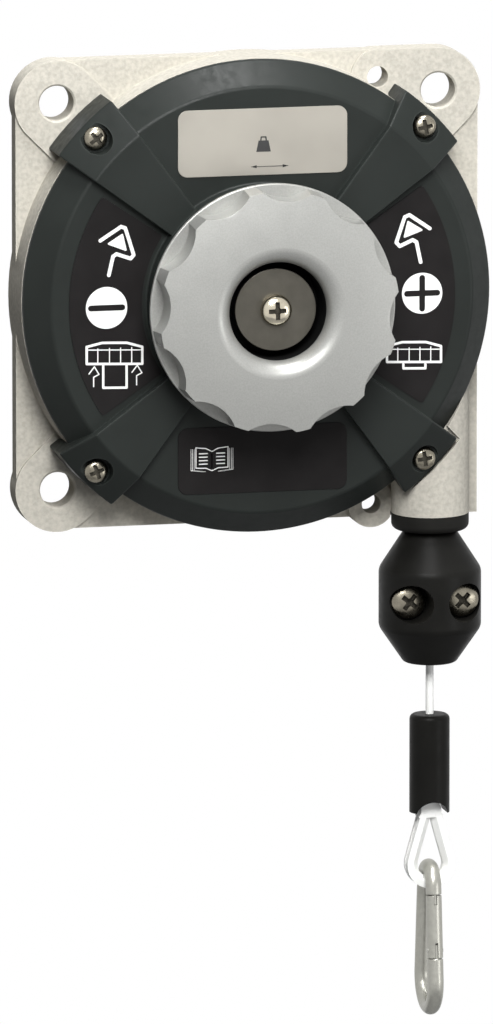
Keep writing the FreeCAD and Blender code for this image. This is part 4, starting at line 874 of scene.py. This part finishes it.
class BALANCER_OT_cable(bpy.types.Operator):
    """Make the white cable, its sleeve and its loop round the thimble"""
    bl_idname = "balancer.cable"
    bl_label = "Cable, sleeve and thimble"

    def execute(self, context):
        for node, name in (("cable_run", "drawn_cable"), ("cable_tail", "hook_cable")):
            low, high = box_mm(node)
            radius = (high.x - low.x) / 2
            count = 40
            bm = bmesh.new()
            rings = [(radius, low.z + (high.z - low.z) * step / count) for step in range(count + 1)]
            lathe(bm, [(0, low.z)] + rings + [(0, high.z)], steps=28)
            if node == "cable_tail":
                finished(name, bm, "hook", [node], cable_coating(), CABLE_LINE)
            else:
                run = finished(name, bm, None, [], cable_coating(), CABLE_LINE)
                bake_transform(run)
                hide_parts(node)
        self.sleeve()
        for node, name, slot, material, edge in (
                ("cable_loop", "loop_cable", "cable", cable_coating(), 0.0),
                ("thimble", "thimble_eye", "nylon", white_nylon(), 0.22),
                ("crimp_ferrule", "ferrule", "steel", ground_steel(), 0.2)):
            bm = copy_of(node)
            if node == "thimble":
                bm = carved(bm, self.crown(), join=True)
            if edge:
                soften(bm, edge, sharper=40, segments=2)
            finished(name, bm, "hook", [node], material, smooth=45.0)
        return {"FINISHED"}

    def crown(self):
        """The thimble's closed top, which fills the arch of the sleeve."""
        foot = box_mm("thimble")[1].z
        bm = bmesh.new()
        thick = 4.2
        half = [(3.3, -1.2), (2.75, 0.0), (2.6, 1.6), (2.0, 2.6), (0.9, 3.1)]
        outline = [(x, foot + z) for x, z in half] + [(-x, foot + z) for x, z in reversed(half)]
        patch(bm, outline, -thick / 2, thick)
        bmesh.ops.transform(bm, matrix=CABLE_LINE @ FACING, verts=bm.verts)
        return bm

    def sleeve(self):
        """The black sleeve with the arch that lets the loop out."""
        low, high = box_mm("cable_sleeve")
        radius = (high.x - low.x) / 2
        bm = bmesh.new()
        bore, inside, cap = 1.15, 3.5, high.z - 2.0
        lathe(bm, [
            (bore, high.z), (radius, high.z), (radius, low.z), (inside, low.z), (inside, cap), (bore, cap),
        ], steps=72, closed=True)
        soften(bm, 1.3, where=at_ring(radius, high.z), segments=4)
        bm = carved(bm, rod(4.2, -20.0, 20.0, 0.0, low.z - 1.0, 64, FACING))
        soften(bm, 0.3, sharper=40, segments=2, where=lambda m: m.z < low.z + 4.0)
        finished("sleeve", bm, "hook", ["cable_sleeve"], satin_stopper(), CABLE_LINE)


class BALANCER_OT_snap_hook(bpy.types.Operator):
    """Make the wire snap hook, its gate and the gate's pin"""
    bl_idname = "balancer.snap_hook"
    bl_label = "Snap hook"

    def execute(self, context):
        low, high = box_mm("carabiner_body")
        pin_low, pin_high = box_mm("gate_pin")
        thimble = box_mm("thimble")
        wire = (high.x - low.x) / 2
        basket = (high.y - low.y) / 2 - wire
        bow = wire + (thimble[1].y - thimble[0].y) / 2 + 0.5
        span = high.z - low.z - bow - basket - 2 * wire
        lean = math.asin((basket - bow) / span)
        centre = Vector((CABLE_X, CABLE_Y, high.z - bow - wire))
        pin = (pin_low + pin_high) / 2
        start = self.on_leg(centre, bow, lean, -1, 0.0)
        pivot = (pin - start).length
        nose = pivot - GATE_LENGTH - 0.2
        at_pin = Matrix.Translation(pin) @ Matrix.Rotation(-lean, 4, "X")
        self.wire(centre, bow, basket, span, lean, wire, nose, pivot + wire + 0.2, at_pin)
        self.gate(wire, at_pin)
        bm = copy_of("gate_pin")
        soften(bm, 0.15, sharper=40, segments=2)
        finished("gate_rivet", bm, "carabiner", ["gate_pin"], zinc_wire(), smooth=50.0)
        return {"FINISHED"}

    def on_leg(self, centre, bow, lean, side, along):
        """A point on a leg: side -1 is the front leg; along is measured down it from the bow."""
        y = side * (bow * math.cos(lean) + along * math.sin(lean))
        return centre + Vector((0, y, bow * math.sin(lean) - along * math.cos(lean)))

    def arc(self, centre, radius, first, last, steps):
        """Points of an arc in the plane of the hook, angles from the back, over the top."""
        angles = [first + (last - first) * step / steps for step in range(steps + 1)]
        return [centre + Vector((0, math.cos(angle), math.sin(angle))) * radius for angle in angles]

    def wire(self, centre, bow, basket, span, lean, radius, nose, heel, at_pin):
        """The bent wire with its two thin tongues."""
        line = [self.on_leg(centre, bow, lean, -1, nose)]
        line += self.arc(centre, bow, math.pi - lean, lean, 28)
        line += self.arc(centre + Vector((0, 0, -span)), basket, lean, -math.pi - lean, 44)
        line.append(self.on_leg(centre, bow, lean, -1, heel))
        bm = tube(line, radius)
        soften(bm, 0.2, sharper=60, segments=2)
        for low, high in ((11.9, 14.8), (-2.6, 1.4)):
            tongue = block((TONGUE, radius * 1.7, high - low), (0, 0, (low + high) / 2))
            bmesh.ops.transform(tongue, matrix=at_pin, verts=tongue.verts)
            bm = carved(bm, tongue, join=True)
        finished("snap_hook", bm, "carabiner", ["carabiner_body"], zinc_wire(), smooth=50.0)

    def gate(self, radius, at_pin):
        """The gate: a bar with two thin slots, rounded where it swings past the heel."""
        rounding = 0.15
        bm = bmesh.new()
        lathe(bm, [(0, -radius), (radius - rounding, -radius), (radius, -radius + rounding),
                   (radius, GATE_LENGTH - rounding), (radius - rounding, GATE_LENGTH), (0, GATE_LENGTH)],
              steps=40)
        swing = rod(radius + 1.6, -4.0, 4.0, segments=64, lying=Matrix.Rotation(math.radians(90), 4, "Y"))
        bmesh.ops.translate(swing, vec=(0, -1.45, 0.75), verts=swing.verts)
        foot = block((8.0, 8.0, 6.0), (0, 0, -1.0))
        bm = carved(bm, carved(foot, swing))
        for tall, level in ((2.6, 13.1), (4.4, -0.2)):
            bm = carved(bm, block((TONGUE + 0.25, 6.0, tall), (0, 0, level)))
        bmesh.ops.transform(bm, matrix=at_pin, verts=bm.verts)
        finished("snap_gate", bm, "gate", ["carabiner_gate"], zinc_wire(), smooth=50.0)


class BALANCER_OT_inner_parts(bpy.types.Operator):
    """Give the pieces inside the housing their finishes"""
    bl_idname = "balancer.inner_parts"
    bl_label = "Inner parts"

    def execute(self, context):
        steel = ground_steel()
        blued = inner_finish("Blued spring steel", (0.13, 0.14, 0.18), 0.32, 0.9, 200)
        bronze = inner_finish("Sintered bronze", (0.5, 0.32, 0.14), 0.5, 0.8, 700)
        drum = inner_finish("Moulded drum", (0.3, 0.3, 0.31), 0.55, 0.0, 150)
        finishes = {
            "front_bush": bronze, "ratchet_ring": steel, "cable_guide": white_nylon(),
            "spring_arbor": steel, "drum": drum, "drum_bush": bronze,
            "cable_winding": cable_coating(), "mainspring": blued, "spring_lid": steel,
        }
        for node, material in finishes.items():
            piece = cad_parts[node]
            piece.data.materials.clear()
            piece.data.materials.append(material)
        self.return_coil(blued)
        return {"FINISHED"}

    def return_coil(self, material):
        """The knob's return coil, pressed flat between the knob's recess and the washer."""
        low, high = box_mm("knob_spring")
        outer = high.x
        inner = outer - COIL_WALL
        bm = bmesh.new()
        lathe(bm, [(inner, -high.y), (outer, -high.y), (outer, -low.y), (inner, -low.y)], steps=64, closed=True)
        coil = finished("return_coil", bm, None, [], material, FACING)
        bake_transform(coil)
        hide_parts("knob_spring")


# ---------------------------------------------------------------- stage

class BALANCER_OT_stage(bpy.types.Operator):
    """Make the floor, the soft lamps, the pale surroundings and the camera"""
    bl_idname = "balancer.stage"
    bl_label = "Stage"

    def execute(self, context):
        scene = context.scene
        scene.view_settings.view_transform = "Standard"
        middle = Vector((-0.0004, -0.007, -0.0578))
        self.floor(middle)
        self.surroundings(scene)
        self.lamp(scene, "key lamp", middle, (-0.08, -0.48, 0.38), 0.3, 4.9)
        self.lamp(scene, "top lamp", middle, (0.1, -0.35, 2.0), 0.8, 44.0)
        self.lamp(scene, "front lamp", middle, (1.8, -1.9, -0.3), 1.0, 11.0)
        self.camera(scene, middle)
        return {"FINISHED"}

    def floor(self, middle):
        bm = bmesh.new()
        bmesh.ops.create_circle(bm, cap_ends=True, segments=96, radius=3.0)
        bmesh.ops.translate(bm, vec=(middle.x, middle.y, -1.9), verts=bm.verts)
        disc = loose_object("floor", bm)
        material = bpy.data.materials.new("Pale floor")
        material.use_nodes = True
        tree = material.node_tree
        shader = tree.nodes["Principled BSDF"]
        fill(shader, {"Roughness": 0.9, "Base Color": (0.85, 0.85, 0.85, 1)})
        path = tree.nodes.new("ShaderNodeLightPath")
        part = tree.nodes.new("ShaderNodeMath")
        part.operation = "MULTIPLY"
        part.inputs[1].default_value = 0.6
        pale = tree.nodes.new("ShaderNodeEmission")
        mix = tree.nodes.new("ShaderNodeMixShader")
        tree.links.new(path.outputs["Is Camera Ray"], part.inputs[0])
        tree.links.new(part.outputs["Value"], mix.inputs["Fac"])
        tree.links.new(shader.outputs["BSDF"], mix.inputs[1])
        tree.links.new(pale.outputs["Emission"], mix.inputs[2])
        tree.links.new(mix.outputs["Shader"], tree.nodes["Material Output"].inputs["Surface"])
        disc.data.materials.append(material)

    def surroundings(self, scene):
        """White where it is seen or mirrored; softer, and brighter above and to the right, as light."""
        world = bpy.data.worlds.new("Pale room")
        scene.world = world
        world.use_nodes = True
        tree = world.node_tree
        tree.nodes.clear()
        path = tree.nodes.new("ShaderNodeLightPath")
        seen = tree.nodes.new("ShaderNodeMath")
        seen.operation = "MAXIMUM"
        mirrored = tree.nodes.new("ShaderNodeMath")
        mirrored.operation = "MAXIMUM"
        tree.links.new(path.outputs["Is Glossy Ray"], mirrored.inputs[0])
        tree.links.new(path.outputs["Is Transmission Ray"], mirrored.inputs[1])
        tree.links.new(path.outputs["Is Camera Ray"], seen.inputs[0])
        tree.links.new(mirrored.outputs["Value"], seen.inputs[1])
        where = tree.nodes.new("ShaderNodeTexCoord")
        lean = tree.nodes.new("ShaderNodeVectorMath")
        lean.operation = "DOT_PRODUCT"
        lean.inputs[1].default_value = (0.55, -0.2, 0.8)
        tree.links.new(where.outputs["Generated"], lean.inputs[0])
        sky = shades(tree, lean.outputs["Value"], (0.05, 0.05, 0.05), (0.5, 0.505, 0.52), 0.0, 1.0)
        light = tree.nodes.new("ShaderNodeBackground")
        tree.links.new(sky, light.inputs["Color"])
        white = tree.nodes.new("ShaderNodeBackground")
        white.inputs["Color"].default_value = (1, 1, 1, 1)
        mix = tree.nodes.new("ShaderNodeMixShader")
        out = tree.nodes.new("ShaderNodeOutputWorld")
        tree.links.new(seen.outputs["Value"], mix.inputs["Fac"])
        tree.links.new(light.outputs["Background"], mix.inputs[1])
        tree.links.new(white.outputs["Background"], mix.inputs[2])
        tree.links.new(mix.outputs["Shader"], out.inputs["Surface"])

    def lamp(self, scene, name, middle, offset, size, power):
        data = bpy.data.lights.new(name, "AREA")
        data.shape = "DISK"
        data.size = size
        data.energy = power
        lamp = bpy.data.objects.new(name, data)
        lamp.location = middle + Vector(offset)
        lamp.rotation_euler = (-Vector(offset)).to_track_quat("-Z", "Y").to_euler()
        scene.collection.objects.link(lamp)

    def camera(self, scene, middle):
        data = bpy.data.cameras.new("camera")
        data.lens = 600.0
        data.sensor_width = 36.0
        data.clip_end = 60.0
        turn, tilt = math.radians(-12.9), math.radians(10.25)
        back = Vector((math.sin(turn) * math.cos(tilt), -math.cos(turn) * math.cos(tilt), math.sin(tilt)))
        camera = bpy.data.objects.new("camera", data)
        camera.location = middle + back * (0.2628 * data.lens / data.sensor_width)
        camera.rotation_euler = (-back).to_track_quat("-Z", "Y").to_euler()
        scene.collection.objects.link(camera)
        scene.camera = camera


class BALANCER_PT_panel(bpy.types.Panel):
    """Lists the balancer's sizes, colours and pieces"""
    bl_idname = "BALANCER_PT_panel"
    bl_label = "Tool balancer"
    bl_space_type = "VIEW_3D"
    bl_region_type = "UI"
    bl_category = "Balancer"

    def draw(self, context):
        for group in (context.scene.balancer_sizes, context.scene.balancer_colours):
            column = self.layout.column()
            for name in group.__annotations__:
                column.prop(group, name)
        for operator in OPERATORS:
            self.layout.operator(operator.bl_idname)


OPERATORS = (
    BALANCER_OT_stage, BALANCER_OT_casting, BALANCER_OT_cover, BALANCER_OT_cover_screws, BALANCER_OT_knob,
    BALANCER_OT_spindle, BALANCER_OT_labels, BALANCER_OT_outlet, BALANCER_OT_stopper, BALANCER_OT_cable,
    BALANCER_OT_snap_hook, BALANCER_OT_inner_parts,
)
CLASSES = (BalancerSizes, BalancerColours, *OPERATORS, BALANCER_PT_panel)


def register():
    for item in CLASSES:
        bpy.utils.register_class(item)
    bpy.types.Scene.balancer_sizes = bpy.props.PointerProperty(type=BalancerSizes)
    bpy.types.Scene.balancer_colours = bpy.props.PointerProperty(type=BalancerColours)


def unregister():
    del bpy.types.Scene.balancer_colours
    del bpy.types.Scene.balancer_sizes
    for item in reversed(CLASSES):
        bpy.utils.unregister_class(item)


def main():
    register()
    for operator in OPERATORS:
        group, name = operator.bl_idname.split(".")
        getattr(getattr(bpy.ops, group), name)()


if __name__ == "__main__":
    main()
